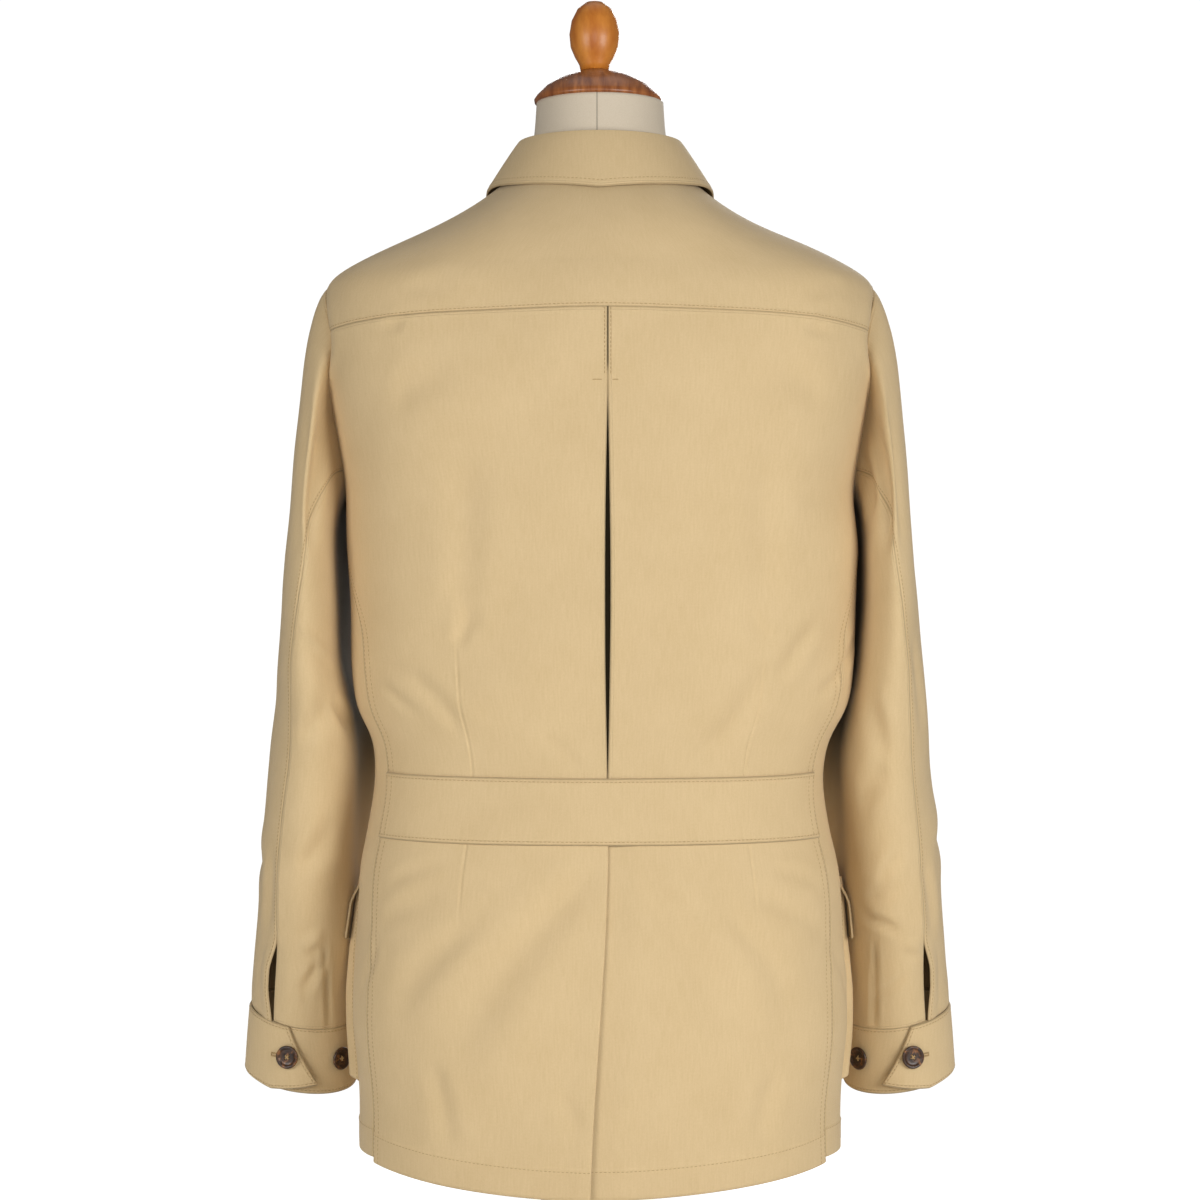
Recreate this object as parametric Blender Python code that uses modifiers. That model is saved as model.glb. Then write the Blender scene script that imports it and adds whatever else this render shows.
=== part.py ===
"""Safari jacket in tan cotton drill, buttoned up on a limbless dress form with a short turned stand.

Metres, +Z up. The jacket's back faces -Y and its front +Y, and +X is the wearer's right. The origin is
the centre of the stand's underside. Each cloth piece is a thin wall cut from one body form or one sleeve
form, so neighbours meet edge to edge with a seam gap, and what lies on a panel is the panel's own form
moved out.
Angles on the body run from the centre back (0) over the wearer's right side (90) to the centre front (180).
"""

import math

import bmesh
import bpy
from mathutils import Vector

# ---- cloth ---------------------------------------------------------------------------------------
WALL = 0.0015  # one thickness of the made-up cloth
COLLAR_WALL = 0.002
SEAM = 0.0008  # gap between two pieces that are sewn edge to edge
LAYER = 0.0004  # gap between a panel and what lies on it
STEP = WALL + LAYER  # how far the next layer's outer face lies above the one below
SEAT = STEP + 0.0004  # the same, for what is sewn down on a panel
LAP = STEP * 1.3  # the same, for an edge that laps over another panel

# ---- the body form: one row for each horizontal section ------------------------------------------
BODY_COLUMNS = ("height", "half_width", "back", "front", "squareness")
BODY_SECTIONS = (
    (0.090, 0.1955, 0.127, 0.133, 2.30),
    (0.150, 0.1960, 0.124, 0.131, 2.30),
    (0.230, 0.2010, 0.118, 0.127, 2.35),
    (0.300, 0.1985, 0.110, 0.123, 2.40),
    (0.340, 0.1955, 0.104, 0.120, 2.40),
    (0.385, 0.1865, 0.098, 0.117, 2.40),
    (0.415, 0.1835, 0.096, 0.116, 2.40),
    (0.447, 0.1860, 0.097, 0.117, 2.45),
    (0.481, 0.1985, 0.100, 0.119, 2.50),
    (0.526, 0.2025, 0.106, 0.122, 2.55),
    (0.600, 0.2045, 0.116, 0.128, 2.70),
    (0.650, 0.2065, 0.121, 0.131, 2.85),
    (0.690, 0.2120, 0.123, 0.130, 3.00),
    (0.750, 0.2210, 0.122, 0.123, 3.00),
    (0.800, 0.2255, 0.117, 0.107, 2.80),
    (0.821, 0.2240, 0.113, 0.098, 2.60),
    (0.829, 0.2170, 0.110, 0.095, 2.45),
    (0.844, 0.1875, 0.106, 0.089, 2.30),
    (0.860, 0.1510, 0.101, 0.082, 2.20),
    (0.877, 0.1190, 0.093, 0.073, 2.10),
    (0.894, 0.0925, 0.081, 0.064, 2.05),
    (0.905, 0.0790, 0.069, 0.057, 2.00),
    (0.916, 0.0660, 0.058, 0.050, 2.00),
)

# ---- seams on the body ---------------------------------------------------------------------------
CENTRE_BACK_X = 0.006  # the jacket sits a little to the wearer's right on the form
SIDE_SEAM_ANGLE = 63.5
UNDERARM_SEAM_ANGLE = 88.0
SIDE_SEAM_TURN = (0.530, 0.650)  # heights between which the side seam swings out to the underarm
SHOULDER_SEAM_ANGLE = 98.0
YOKE_CENTRE_HEIGHT = 0.793
NECK_PLAN = {"half_width": 0.079, "back": 0.069, "front": 0.089}
BELT = {"low": 0.3750, "high": 0.4265, "sag": 0.002}
WAIST_HEIGHT = 0.4005
HEM = {"back": 0.101, "side": 0.121, "front": 0.117}

# ---- armhole: an oval in angle and height --------------------------------------------------------
ARMHOLE = {"middle": 0.7355, "half_height": 0.0855, "back": 27.0, "front": 28.0}
ARMHOLE_STEP = 20  # degrees round the oval between two stations
YOKE_STATION = 60  # station where the yoke seam meets the armhole

ARMHOLE_INSET = 0.988  # the sleeve starts on a slightly smaller oval
ARMHOLE_LIFT = {"under": 0.0009, "top": 0.0006}  # and stands this far off the body

# ---- sleeve: one row for each level ring below the armhole ---------------------------------------
SLEEVE_COLUMNS = ("height", "middle_x", "middle_y", "half_width", "half_depth", "tuck")
TUCK_SPAN = (-0.15, 0.75)  # shares of the depth over which the inner face turns in towards the body's side
SLEEVE_RINGS = (
    (0.147, 0.2530, 0.075, 0.0470, 0.0465, 0.0000),
    (0.2045, 0.2508, 0.073, 0.0450, 0.0470, 0.0000),
    (0.263, 0.2475, 0.066, 0.0423, 0.0530, 0.0000),
    (0.357, 0.2425, 0.044, 0.0405, 0.0620, 0.0130),
    (0.444, 0.2345, 0.026, 0.0370, 0.0700, 0.0190),
    (0.479, 0.2350, 0.018, 0.0325, 0.0745, 0.0120),
    (0.516, 0.2370, 0.012, 0.0270, 0.0790, 0.0100),
    (0.565, 0.2355, 0.005, 0.0235, 0.0840, 0.0090),
    (0.600, 0.2335, 0.002, 0.0215, 0.0860, 0.0080),
)
# the mouth rises outwards and forwards, from and to these heights
SLEEVE_TILT = {"out": 0.15, "front": 0.19, "from": 0.45, "full": 0.27}
SLEEVE_HANG = 0.600  # height where the cap ends and the sleeve hangs level
SLEEVE_SEAM = 0.0018  # its seams turn sharply, so their gap is wider
# how the sleeve leaves the top and the foot of the armhole: out, to the back or front, down
HEAD_PULL = (0.0640, 0.0280, -0.0480)
UNDERARM_PULL = (0.0225, 0.0045, -0.0387)
ARRIVE_SHARE = 0.9
SEAM_COLUMNS = ("height", "hind", "fore")
SLEEVE_SEAMS = (
    (0.204, 62.0, 232.0),
    (0.357, 60.0, 232.0),
    (0.500, 72.0, 228.0),
    (0.600, 92.0, 224.0),
    (0.735, 140.0, 220.0),
)

CUFF = {"low": 0.1655, "high": 0.2195, "start": 36.0, "end_high": 432.0, "end_low": 458.0}
CUFF_LAP = {"from": 325.0, "full": 385.0, "lift": STEP * 1.15}  # where it climbs over its own start
CUFF_FLARE = {"from": 400.0, "full": 458.0, "lift": 0.004}  # the loose end stands off, most at the mouth
CUFF_BUTTONS = (("lap", 442.0), ("spare", 138.0))
CUFF_BUTTON_SHARE = 0.52  # how far up the cuff its buttons sit

# ---- collar: one row for each direction round the neck (0 is the centre back) --------------------
FOLD_PLAN = {"half_width": 0.0665, "back": 0.066, "front": 0.080}
STAND_HEIGHT = {"back": 0.030, "front": 0.026}
LEAF_COLUMNS = ("direction", "reach_x", "reach_y", "clear")
LEAF_EDGE = (
    (0.0, 0.000, -0.0200, 0.0045),
    (50.0, 0.017, -0.0150, 0.0050),
    (90.0, 0.024, 0.0000, 0.0045),
    (130.0, 0.034, 0.0200, 0.0045),
    (166.0, 0.026, 0.0270, 0.0065),
)
STAND_END = 178.6
STAND_FOOT = 0.0014  # the stand's lower edge above the neck edge
LEAF_FOLD = {"rise": 0.0034, "out": 0.0010}  # the leaf's fold, from the top of the stand
LEAF_TURN = {"reach": 0.42, "drop": 0.004}  # the point that rounds the leaf over

# ---- pockets -------------------------------------------------------------------------------------
POCKET_COLUMNS = ("name", "low", "high", "side_angle", "front_angle", "bulge", "flap")
POCKETS = (
    ("lower", 0.166, 0.335, 101.0, 161.0, 0.0100, 0.062),
    ("chest", 0.548, 0.672, 134.0, 163.0, 0.0035, 0.048),
)
FLAP_OVERHANG = 0.003  # how far a flap reaches past its pocket at each side
FLAP_TOP = 0.012  # how far above the pocket's mouth the flap is sewn on
FLAP_POINT = 0.006  # how far a flap's middle hangs below its corners
POCKET_ROUND = 0.012  # width over which a pocket's gusset rises
MOUTH_SHARE = 0.35  # how much of the bulge is left at the mouth
FLAP_CLEAR = 0.0008
POCKET_RADIUS = 0.16  # the panel's rough radius there, which turns widths into angles

# ---- pleat, vent and front edge ------------------------------------------------------------------
PLEAT = {"closed_high": 0.738, "open_length": 0.33, "open": 0.0042, "underlay": 0.042, "depth": 0.006}
UNDERLAY_CLEAR = 0.0003
VENT = {"drift": -0.014, "underlap": 0.038, "level_by": 0.13}
FRONT_LAP = {"over": 0.020, "under": 0.018, "level_from": 0.048, "level_to": 0.022}
BELT_END = 0.995  # share of the way to the side seam

# ---- buttons -------------------------------------------------------------------------------------
BUTTON_GAP = 0.0007
BUTTON = {"radius": 0.0095, "height": 0.0034, "steps": 10}
BUTTON_PROFILE = (
    (0.0, 0.62), (0.60, 0.62), (0.80, 1.0), (1.0, 0.75), (0.94, 0.30), (0.70, 0.0), (0.0, 0.0),
)  # shares of the radius and of the height
FLAP_BUTTON_RISE = 0.016  # its middle above the flap's corners
FRONT_BUTTON_HEIGHTS = (0.800, 0.690, 0.578, 0.466, 0.350)

# ---- dress form ----------------------------------------------------------------------------------
FORM_BOTTOM = 0.165
FORM_NECK_HEIGHT = 0.9155
NECK_TOP = 0.9717
FORM_COLUMNS = ("height", "clearance", "half_width_limit")
FORM_ROWS = (
    (FORM_BOTTOM, 0.030, 0.168),
    (0.190, 0.022, 0.176),
    (0.260, 0.018, 0.180),
    (0.340, 0.012, 0.178),
    (0.420, 0.010, 0.170),
    (0.500, 0.014, 0.174),
    (0.600, 0.014, 0.180),
    (0.700, 0.012, 0.187),
    (0.770, 0.007, 0.192),
    (0.812, 0.0032, 0.194),
    (0.829, 0.0024, 0.193),
    (0.844, 0.0022, 0.186),
    (0.860, 0.0022, 0.300),
    (0.877, 0.0022, 0.300),
    (0.892, 0.0024, 0.300),
    (0.902, 0.0045, 0.300),
    (0.910, 0.0075, 0.300),
)
FORM_SKIN = 0.0003
FORM_SEGMENTS = 24
NECK_FOOT = {"wide": 0.0560, "deep": 0.0500}
NECK_RINGS = (
    (0.9158, 0.0600, 0.0540), (0.9300, 0.0565, 0.0530), (0.9500, 0.0535, 0.0520), (NECK_TOP, 0.0520, 0.0515),
)  # height, half width, half depth
CAP_X = -0.0015  # the cap and its knob stand a little to the wearer's left
KNOB_X = -0.0045
CAP_PROFILE = (
    (0.0, 0.9985), (0.0120, 0.9985), (0.0200, 0.9960), (0.0320, 0.9915), (0.0430, 0.9850),
    (0.0505, 0.9775), (0.0525, 0.9745), (0.0520, 0.9720), (0.0, 0.9720),
)
KNOB_PROFILE = (
    (0.0, 1.0558), (0.0070, 1.0545), (0.0140, 1.0490), (0.0188, 1.0395), (0.0206, 1.0285), (0.0196, 1.0180),
    (0.0160, 1.0095), (0.0125, 1.0035), (0.0115, 0.9988), (0.0, 0.9988),
)
POST_PROFILE = (
    (0.0, 0.1646), (0.0260, 0.1646), (0.0260, 0.1580), (0.0165, 0.1500), (0.0165, 0.0420), (0.0230, 0.0330),
    (0.0230, 0.0265), (0.0, 0.0265),
)
BASE_PROFILE = (
    (0.0, 0.0262), (0.0300, 0.0262), (0.0450, 0.0225), (0.1480, 0.0170), (0.1640, 0.0130), (0.1700, 0.0070),
    (0.1700, 0.0), (0.0, 0.0),
)

COLOURS = {
    "cotton_drill": ((0.70, 0.54, 0.32), 0.75),
    "horn": ((0.045, 0.022, 0.012), 0.35),
    "linen": ((0.68, 0.58, 0.44), 0.85),
    "beech": ((0.60, 0.26, 0.07), 0.35),
    "stained_beech": ((0.32, 0.12, 0.035), 0.35),
}


class Profile:
    """A value read smoothly between the rows of a table, with no overshoot."""

    def __init__(self, stations, values):
        self.stations, self.values = stations, values
        chords = [
            (values[i + 1] - values[i]) / (stations[i + 1] - stations[i]) for i in range(len(values) - 1)
        ]
        self.slopes = [chords[0]]
        for before, after in zip(chords, chords[1:]):
            level = before * after <= 0
            self.slopes.append(0.0 if level else 2 * before * after / (before + after))
        self.slopes.append(chords[-1])

    def __call__(self, station):
        station = min(max(station, self.stations[0]), self.stations[-1])
        i = 0
        while i < len(self.stations) - 2 and station > self.stations[i + 1]:
            i += 1
        span = self.stations[i + 1] - self.stations[i]
        t = (station - self.stations[i]) / span
        return hermite(
            self.values[i], self.slopes[i] * span, self.values[i + 1], self.slopes[i + 1] * span, t
        )


def hermite(start, start_pull, end, end_pull, t):
    """Cubic from start to end that leaves and arrives with the given pulls."""
    return (
        start * (2 * t**3 - 3 * t**2 + 1)
        + start_pull * (t**3 - 2 * t**2 + t)
        + end * (3 * t**2 - 2 * t**3)
        + end_pull * (t**3 - t**2)
    )


def profiles(columns, table):
    """One Profile for each column after the first, which holds the stations."""
    values = dict(zip(columns, zip(*table)))
    return [Profile(values[columns[0]], values[name]) for name in columns[1:]]


def mix(start, end, t):
    return start + (end - start) * t


def ease(low, high, value):
    """0 below low, 1 above high, and a smooth rise between them."""
    t = min(max((value - low) / (high - low), 0.0), 1.0)
    return t * t * (3 - 2 * t)


def spaced(start, stop, count):
    return [mix(start, stop, i / count) for i in range(count + 1)]


half_width, back_depth, front_depth, squareness = profiles(BODY_COLUMNS, BODY_SECTIONS)
sleeve_x, sleeve_y, sleeve_half_width, sleeve_half_depth, sleeve_tuck = profiles(SLEEVE_COLUMNS, SLEEVE_RINGS)
hind_seam, fore_seam = profiles(SEAM_COLUMNS, SLEEVE_SEAMS)
leaf_x, leaf_y, leaf_clear = profiles(LEAF_COLUMNS, LEAF_EDGE)
form_clearance, form_limit = profiles(FORM_COLUMNS, FORM_ROWS)


# ---- the body form -------------------------------------------------------------------------------
def section_point(angle, height):
    """Point of the body form; angle in degrees."""
    across, along = math.sin(math.radians(angle)), math.cos(math.radians(angle))
    deep = back_depth(height) if along > 0 else front_depth(height)
    power = squareness(height)
    reach = (abs(across) ** power + abs(along) ** power) ** (-1 / power)
    return Vector((half_width(height) * reach * across, -deep * reach * along, height))


def outward(angle, height):
    turn, rise = 0.5, 0.001
    round_it = section_point(angle + turn, height) - section_point(angle - turn, height)
    up_it = section_point(angle, height + rise) - section_point(angle, height - rise)
    return round_it.cross(up_it).normalized()


def body(angle, height, lift=0.0):
    """Point of the body form, moved out by lift."""
    return section_point(angle, height) + outward(angle, height) * lift


def back_angle(x, height):
    """Angle at which the back of a section reaches x."""
    power = squareness(height)
    share = x / half_width(height)
    return math.degrees(math.atan2(share, (1 - abs(share) ** power) ** (1 / power)))


def front_angle(x, height):
    """Angle, just short of or past 180, at which the front of a section reaches x."""
    return 180.0 - back_angle(x, height)


def height_over(x, y):
    """Height at which the shoulders and the upper body pass over the plan point (x, y)."""
    low, high = 0.70, 0.916
    for _ in range(30):
        middle = (low + high) / 2
        power = squareness(middle)
        deep = back_depth(middle) if y < 0 else front_depth(middle)
        inside = (abs(x) / half_width(middle)) ** power + (abs(y) / deep) ** power < 1
        low, high = (middle, high) if inside else (low, middle)
    return low


def plan_point(plan, direction):
    """Point of a neck-like oval in plan; direction 0 is the centre back and 90 the wearer's right."""
    across, along = math.sin(math.radians(direction)), math.cos(math.radians(direction))
    deep = plan["back"] if along > 0 else plan["front"]
    return Vector((plan["half_width"] * across, -deep * along, 0.0))


def neckline(direction):
    point = plan_point(NECK_PLAN, direction)
    point.z = height_over(point.x, point.y)
    return point


def side_seam(height):
    return mix(SIDE_SEAM_ANGLE, UNDERARM_SEAM_ANGLE, ease(*SIDE_SEAM_TURN, height))


def armhole_height(station):
    return ARMHOLE["middle"] + ARMHOLE["half_height"] * math.cos(math.radians(station))


def armhole_bulge(height):
    share = (height - ARMHOLE["middle"]) / ARMHOLE["half_height"]
    return math.sqrt(max(0.0, 1 - share * share))


def shoulder_seam(height):
    """Angle of the seam from the shoulder point to the neck, just in front of the ridge."""
    return mix(90.0, SHOULDER_SEAM_ANGLE, ease(armhole_height(0), 0.87, height))


def back_edge(height):
    """Outer edge of the back and the yoke: side seam, armhole, then shoulder seam."""
    if height <= armhole_height(180):
        return side_seam(height)
    if height < armhole_height(0):
        return 90.0 - ARMHOLE["back"] * armhole_bulge(height)
    return shoulder_seam(height)


def front_edge(height):
    """Outer edge of the front, from the hem to the neck."""
    if height <= armhole_height(180):
        return side_seam(height)
    if height < armhole_height(0):
        return 90.0 + ARMHOLE["front"] * armhole_bulge(height)
    return shoulder_seam(height)


def hem(angle):
    turn = abs(angle)
    if turn < 90:
        return mix(HEM["back"], HEM["side"], ease(0, 90, turn))
    return mix(HEM["side"], HEM["front"], ease(90, 180, turn))


def narrowed(angle, height):
    """The angle brought in by half a seam gap, towards the centre back."""
    return angle - math.degrees(SEAM / 2 / half_width(height))


LOWER_ROWS = spaced(HEM["side"], BELT["low"], 6) + [WAIST_HEIGHT]
ARMHOLE_STATIONS = range(180, -1, -ARMHOLE_STEP)
ARMHOLE_ROWS = [armhole_height(station) for station in ARMHOLE_STATIONS]
UPPER_ROWS = [WAIST_HEIGHT] + spaced(BELT["high"], ARMHOLE_ROWS[0], 6)
YOKE_EDGE_HEIGHT = armhole_height(YOKE_STATION)
NECK_EDGE_HEIGHT = neckline(SHOULDER_SEAM_ANGLE).z
SHOULDER_ROWS = spaced(ARMHOLE_ROWS[-1], NECK_EDGE_HEIGHT, 8)[1:]
YOKE_ROWS = [height for height in ARMHOLE_ROWS if height >= YOKE_EDGE_HEIGHT] + SHOULDER_ROWS
BACK_EDGE_ROWS = [height for height in ARMHOLE_ROWS if height <= YOKE_EDGE_HEIGHT]


# ---- objects -------------------------------------------------------------------------------------
def new_scene():
    for item in list(bpy.data.objects):
        bpy.data.objects.remove(item)
    parts = bpy.data.collections.new("safari_jacket")
    bpy.context.scene.collection.children.link(parts)
    whole = bpy.data.objects.new("jacket_on_form", None)
    parts.objects.link(whole)
    return parts, whole


PARTS, WHOLE = new_scene()


def material(node, kind):
    (red, green, blue), roughness = COLOURS[kind]
    made = bpy.data.materials.new(f"{node}_{kind}")
    made.use_nodes = True
    shader = made.node_tree.nodes["Principled BSDF"]
    shader.inputs["Base Color"].default_value = (red, green, blue, 1.0)
    shader.inputs["Roughness"].default_value = roughness
    shader.inputs["Metallic"].default_value = 0.0
    return made


def add_object(node, mesh, kind):
    item = bpy.data.objects.new(node, mesh)
    PARTS.objects.link(item)
    item.parent = WHOLE
    item.data.materials.append(material(node, kind))
    return item


def cloth(node, place, columns, rows, wall=WALL, kind="cotton_drill"):
    """A cloth wall: place(column, row) is its outer face, and Solidify takes its thickness inwards."""
    form = bmesh.new()
    grid = [[form.verts.new(place(column, row)) for column in columns] for row in rows]
    for lower, upper in zip(grid, grid[1:]):
        for i in range(len(columns) - 1):
            form.faces.new((lower[i], lower[i + 1], upper[i + 1], upper[i]))
    mesh = bpy.data.meshes.new(node)
    form.to_mesh(mesh)
    form.free()
    mesh.shade_smooth()
    item = add_object(node, mesh, kind)
    thick = item.modifiers.new("wall", "SOLIDIFY")
    thick.thickness = wall
    thick.offset = -1.0
    thick.use_even_offset = True
    return item


def loft(node, rings, kind):
    """A closed solid through rings of equal count, from the lowest to the highest."""
    form = bmesh.new()
    rows = [[form.verts.new(point) for point in ring] for ring in rings]
    count = len(rows[0])
    for lower, upper in zip(rows, rows[1:]):
        for i in range(count):
            form.faces.new((lower[i], lower[(i + 1) % count], upper[(i + 1) % count], upper[i]))
    form.faces.new(reversed(rows[0]))
    form.faces.new(rows[-1])
    mesh = bpy.data.meshes.new(node)
    form.to_mesh(mesh)
    form.free()
    mesh.shade_smooth()
    return add_object(node, mesh, kind)


def turned(node, profile, steps, kind):
    """A solid of revolution about Z, from a profile that runs down its outer side."""
    mesh = bpy.data.meshes.new(node)
    mesh.from_pydata([(radius, 0.0, height) for radius, height in profile], [
        (i, i + 1) for i in range(len(profile) - 1)
    ], [])
    item = add_object(node, mesh, kind)
    screw = item.modifiers.new("turn", "SCREW")
    screw.steps = screw.render_steps = steps
    screw.use_merge_vertices = True
    screw.merge_threshold = 0.00005
    return item


# ---- back ----------------------------------------------------------------------------------------
def yoke_place(u, row):
    """u runs from -1 to 1 across the yoke; row is the height at its ends."""
    share = (row - YOKE_EDGE_HEIGHT) / (NECK_EDGE_HEIGHT - YOKE_EDGE_HEIGHT)
    angle = u * narrowed(back_edge(row), row)
    low = mix(YOKE_CENTRE_HEIGHT, YOKE_EDGE_HEIGHT, u * u) + SEAM / 2
    high = neckline(angle).z
    return body(angle, mix(low, high, share))


def back_height(u, row):
    """Height in a back panel: its rows rise towards the centre as they near the yoke."""
    rise = (YOKE_CENTRE_HEIGHT - YOKE_EDGE_HEIGHT) * (1 - u * u)
    foot = SEAM / 2 if row <= WAIST_HEIGHT else 0.0
    head = SEAM / 2 * ease(ARMHOLE_ROWS[0], YOKE_EDGE_HEIGHT, row)
    return row + rise * ease(ARMHOLE_ROWS[0] - 0.1, YOKE_EDGE_HEIGHT, row) + foot - head


def pleat_half(height):
    """Half the gap between the pleat's two folded edges."""
    down = (PLEAT["closed_high"] - height) / PLEAT["open_length"]
    return SEAM / 2 + PLEAT["open"] / 2 * math.sin(math.pi * min(1.0, max(0.0, down)))


def back_panel(side, name):
    def place(u, row):
        height = back_height(u, row)
        inner = back_angle(CENTRE_BACK_X + side * pleat_half(height), height)
        outer = side * narrowed(back_edge(row), row)
        return body(mix(inner, outer, u), height)

    columns = spaced(0, 1, 8)
    cloth(name, place, columns if side > 0 else columns[::-1], UPPER_ROWS[:-1] + BACK_EDGE_ROWS)


def pleat_underlay():
    top = YOKE_CENTRE_HEIGHT - 0.002

    def place(u, height):
        share = (height - WAIST_HEIGHT) / (top - WAIST_HEIGHT)
        sink = STEP + UNDERLAY_CLEAR + PLEAT["depth"] * (1 - u * u) * math.sin(math.pi * share)
        return body(back_angle(CENTRE_BACK_X + u * PLEAT["underlay"], height), height, -sink)

    cloth("pleat_underlay", place, spaced(-1, 1, 4), UPPER_ROWS + spaced(UPPER_ROWS[-1], top, 4)[1:])


def half_belt():
    def place(u, height):
        end = math.copysign(side_seam(height) * BELT_END, u)
        angle = mix(back_angle(CENTRE_BACK_X, height), end, abs(u))
        return body(angle, height - BELT["sag"] * (1 - u * u), SEAT)

    cloth("half_belt", place, spaced(-1, 1, 16), (BELT["low"], WAIST_HEIGHT, BELT["high"]))


def vent_x(height):
    """Line of the vent's upper edge, drifting to the wearer's left as it falls."""
    fall = (BELT["low"] - height) / (BELT["low"] - HEM["back"])
    return CENTRE_BACK_X + VENT["drift"] * ease(0.0, 1.1, fall)


def skirt_height(angle, row):
    """Height in a skirt, whose rows are level at the belt and follow the hem at the foot."""
    fall = max(0.0, (BELT["low"] - row) / (BELT["low"] - HEM["side"]))
    return row + (hem(angle) - HEM["side"]) * fall - SEAM / 2


def skirt_left():
    def place(u, row):
        height = skirt_height(u * SIDE_SEAM_ANGLE, row)
        outer = -narrowed(side_seam(row), row)
        return body(mix(back_angle(vent_x(height), height), outer, u), height)

    cloth("skirt_left", place, spaced(1, 0, 8), LOWER_ROWS)


def skirt_right():
    """The right skirt runs on under the left one by the vent's underlap; u below 0 is that underlap."""
    def place(u, row):
        height = skirt_height(max(u, 0.0) * SIDE_SEAM_ANGLE, row)
        edge = vent_x(height)
        if u < 0:
            return body(back_angle(edge + u * VENT["underlap"], height), height, -LAP)
        angle = mix(back_angle(edge, height), narrowed(side_seam(row), row), u)
        return body(angle, height, -LAP * (1 - ease(0.01, VENT["level_by"], u)))

    cloth("skirt_right", place, [-1.0, -0.5] + spaced(0, 1, 8), LOWER_ROWS)


# ---- fronts --------------------------------------------------------------------------------------
def front_panel(side, name):
    """Side seam, armhole, shoulder seam and neckline bound a front; the left one laps over the right."""
    over = side < 0
    edge_x = -FRONT_LAP["over"] if over else -FRONT_LAP["under"]
    straight_top = ARMHOLE_ROWS[0]
    neck_end = neckline(SHOULDER_SEAM_ANGLE)
    centre_direction = 180.0 - math.degrees(edge_x / NECK_PLAN["half_width"])
    centre_top = neckline(centre_direction).z

    def angle_of(point):
        share = abs(point.x) / half_width(point.z), abs(point.y) / front_depth(point.z)
        return 180.0 - math.copysign(math.degrees(math.atan2(*share)), point.x)

    def place(u, row):
        outer = front_edge(row) + math.degrees(SEAM / 2 / half_width(row))
        if row <= straight_top:
            share = (row - HEM["side"]) / (straight_top - HEM["side"])
            bottom = mix(HEM["side"], HEM["front"], ease(0, 1, u))
            height = mix(bottom, straight_top, share)
            centre = front_angle(edge_x, height)
            angle = mix(outer, centre, u)
        else:
            share = (row - straight_top) / (neck_end.z - straight_top)
            inner_height = mix(straight_top, centre_top, share)
            centre = front_angle(edge_x, inner_height)
            top = neckline(mix(SHOULDER_SEAM_ANGLE, centre_direction, u))
            top_centre = front_angle(edge_x, centre_top)
            straight_angle = mix(SHOULDER_SEAM_ANGLE, top_centre, u)
            pull = share * share
            angle = mix(outer, centre, u) + pull * (angle_of(top) - straight_angle)
            height = mix(row, inner_height, u) + pull * (top.z - mix(neck_end.z, centre_top, u))
        lift = 0.0
        if over:
            x = section_point(angle, height).x
            lift = LAP * (1 - ease(FRONT_LAP["level_to"], FRONT_LAP["level_from"], x))
        return body(side * angle, height, lift)

    columns = spaced(0, 0.72, 8) + [0.79, 0.86, 0.93, 1.0]
    rows = LOWER_ROWS[:-1] + UPPER_ROWS[:-1] + ARMHOLE_ROWS + SHOULDER_ROWS
    cloth(name, place, columns if side > 0 else columns[::-1], rows)


# ---- sleeves -------------------------------------------------------------------------------------
def sleeve_ring(station, height):
    """Point of a hanging sleeve on the wearer's right; station 0 is outermost, 90 back, 180 by the body."""
    across, ahead = math.cos(math.radians(station)), -math.sin(math.radians(station))
    tuck = sleeve_tuck(height) * ease(*TUCK_SPAN, ahead) * (1 - across) / 2
    out = sleeve_half_width(height) * across - tuck
    front = sleeve_half_depth(height) * ahead
    tilt = ease(-SLEEVE_TILT["from"], -SLEEVE_TILT["full"], -height)
    rise = tilt * (SLEEVE_TILT["out"] * out + SLEEVE_TILT["front"] * front)
    return Vector((sleeve_x(height) + out, sleeve_y(height) + front, height + rise))


def armhole_point(station):
    """Start of the sleeve, just inside the armhole's edge and just proud of the body."""
    back, up = math.sin(math.radians(station)), math.cos(math.radians(station))
    swing = ARMHOLE["back"] if back > 0 else ARMHOLE["front"]
    angle = 90.0 - swing * ARMHOLE_INSET * back
    height = ARMHOLE["middle"] + ARMHOLE["half_height"] * ARMHOLE_INSET * up
    return body(angle, height, mix(ARMHOLE_LIFT["under"], ARMHOLE_LIFT["top"], (1 + up) / 2))


def sleeve_point(station, row):
    """row 0 to 1 runs over the cap, and a row above 1 is one plus the drop below the cap."""
    if row > 1:
        return sleeve_ring(station, SLEEVE_HANG - (row - 1))
    high = (1 + math.cos(math.radians(station))) / 2
    back = math.sin(math.radians(station))
    start = armhole_point(station)
    end = sleeve_ring(station, SLEEVE_HANG)
    leave = mix(Vector(UNDERARM_PULL), Vector(HEAD_PULL), high)
    leave.y *= -back
    arrive = (sleeve_ring(station, SLEEVE_HANG - 0.02) - end).normalized()
    arrive *= (start.z - end.z) * ARRIVE_SHARE
    return hermite(start, leave, end, arrive, row)


def sleeve_row_height(row):
    """Height at which the sleeve's seams are read for a row."""
    return mix(ARMHOLE["middle"], SLEEVE_HANG, row) if row <= 1 else SLEEVE_HANG - (row - 1)


CAP_ROWS = (0.0, 0.09, 0.19, 0.31, 0.45, 0.6, 0.8, 1.0)
HANG_ROWS = [1 + drop for drop in spaced(0, SLEEVE_HANG - CUFF["high"] - SEAM, 9)][1:]


def seam_turn(station, row):
    """Degrees round the sleeve that half a seam gap takes up."""
    across = sleeve_point(station + 1, row) - sleeve_point(station - 1, row)
    return SLEEVE_SEAM / across.length


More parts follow.
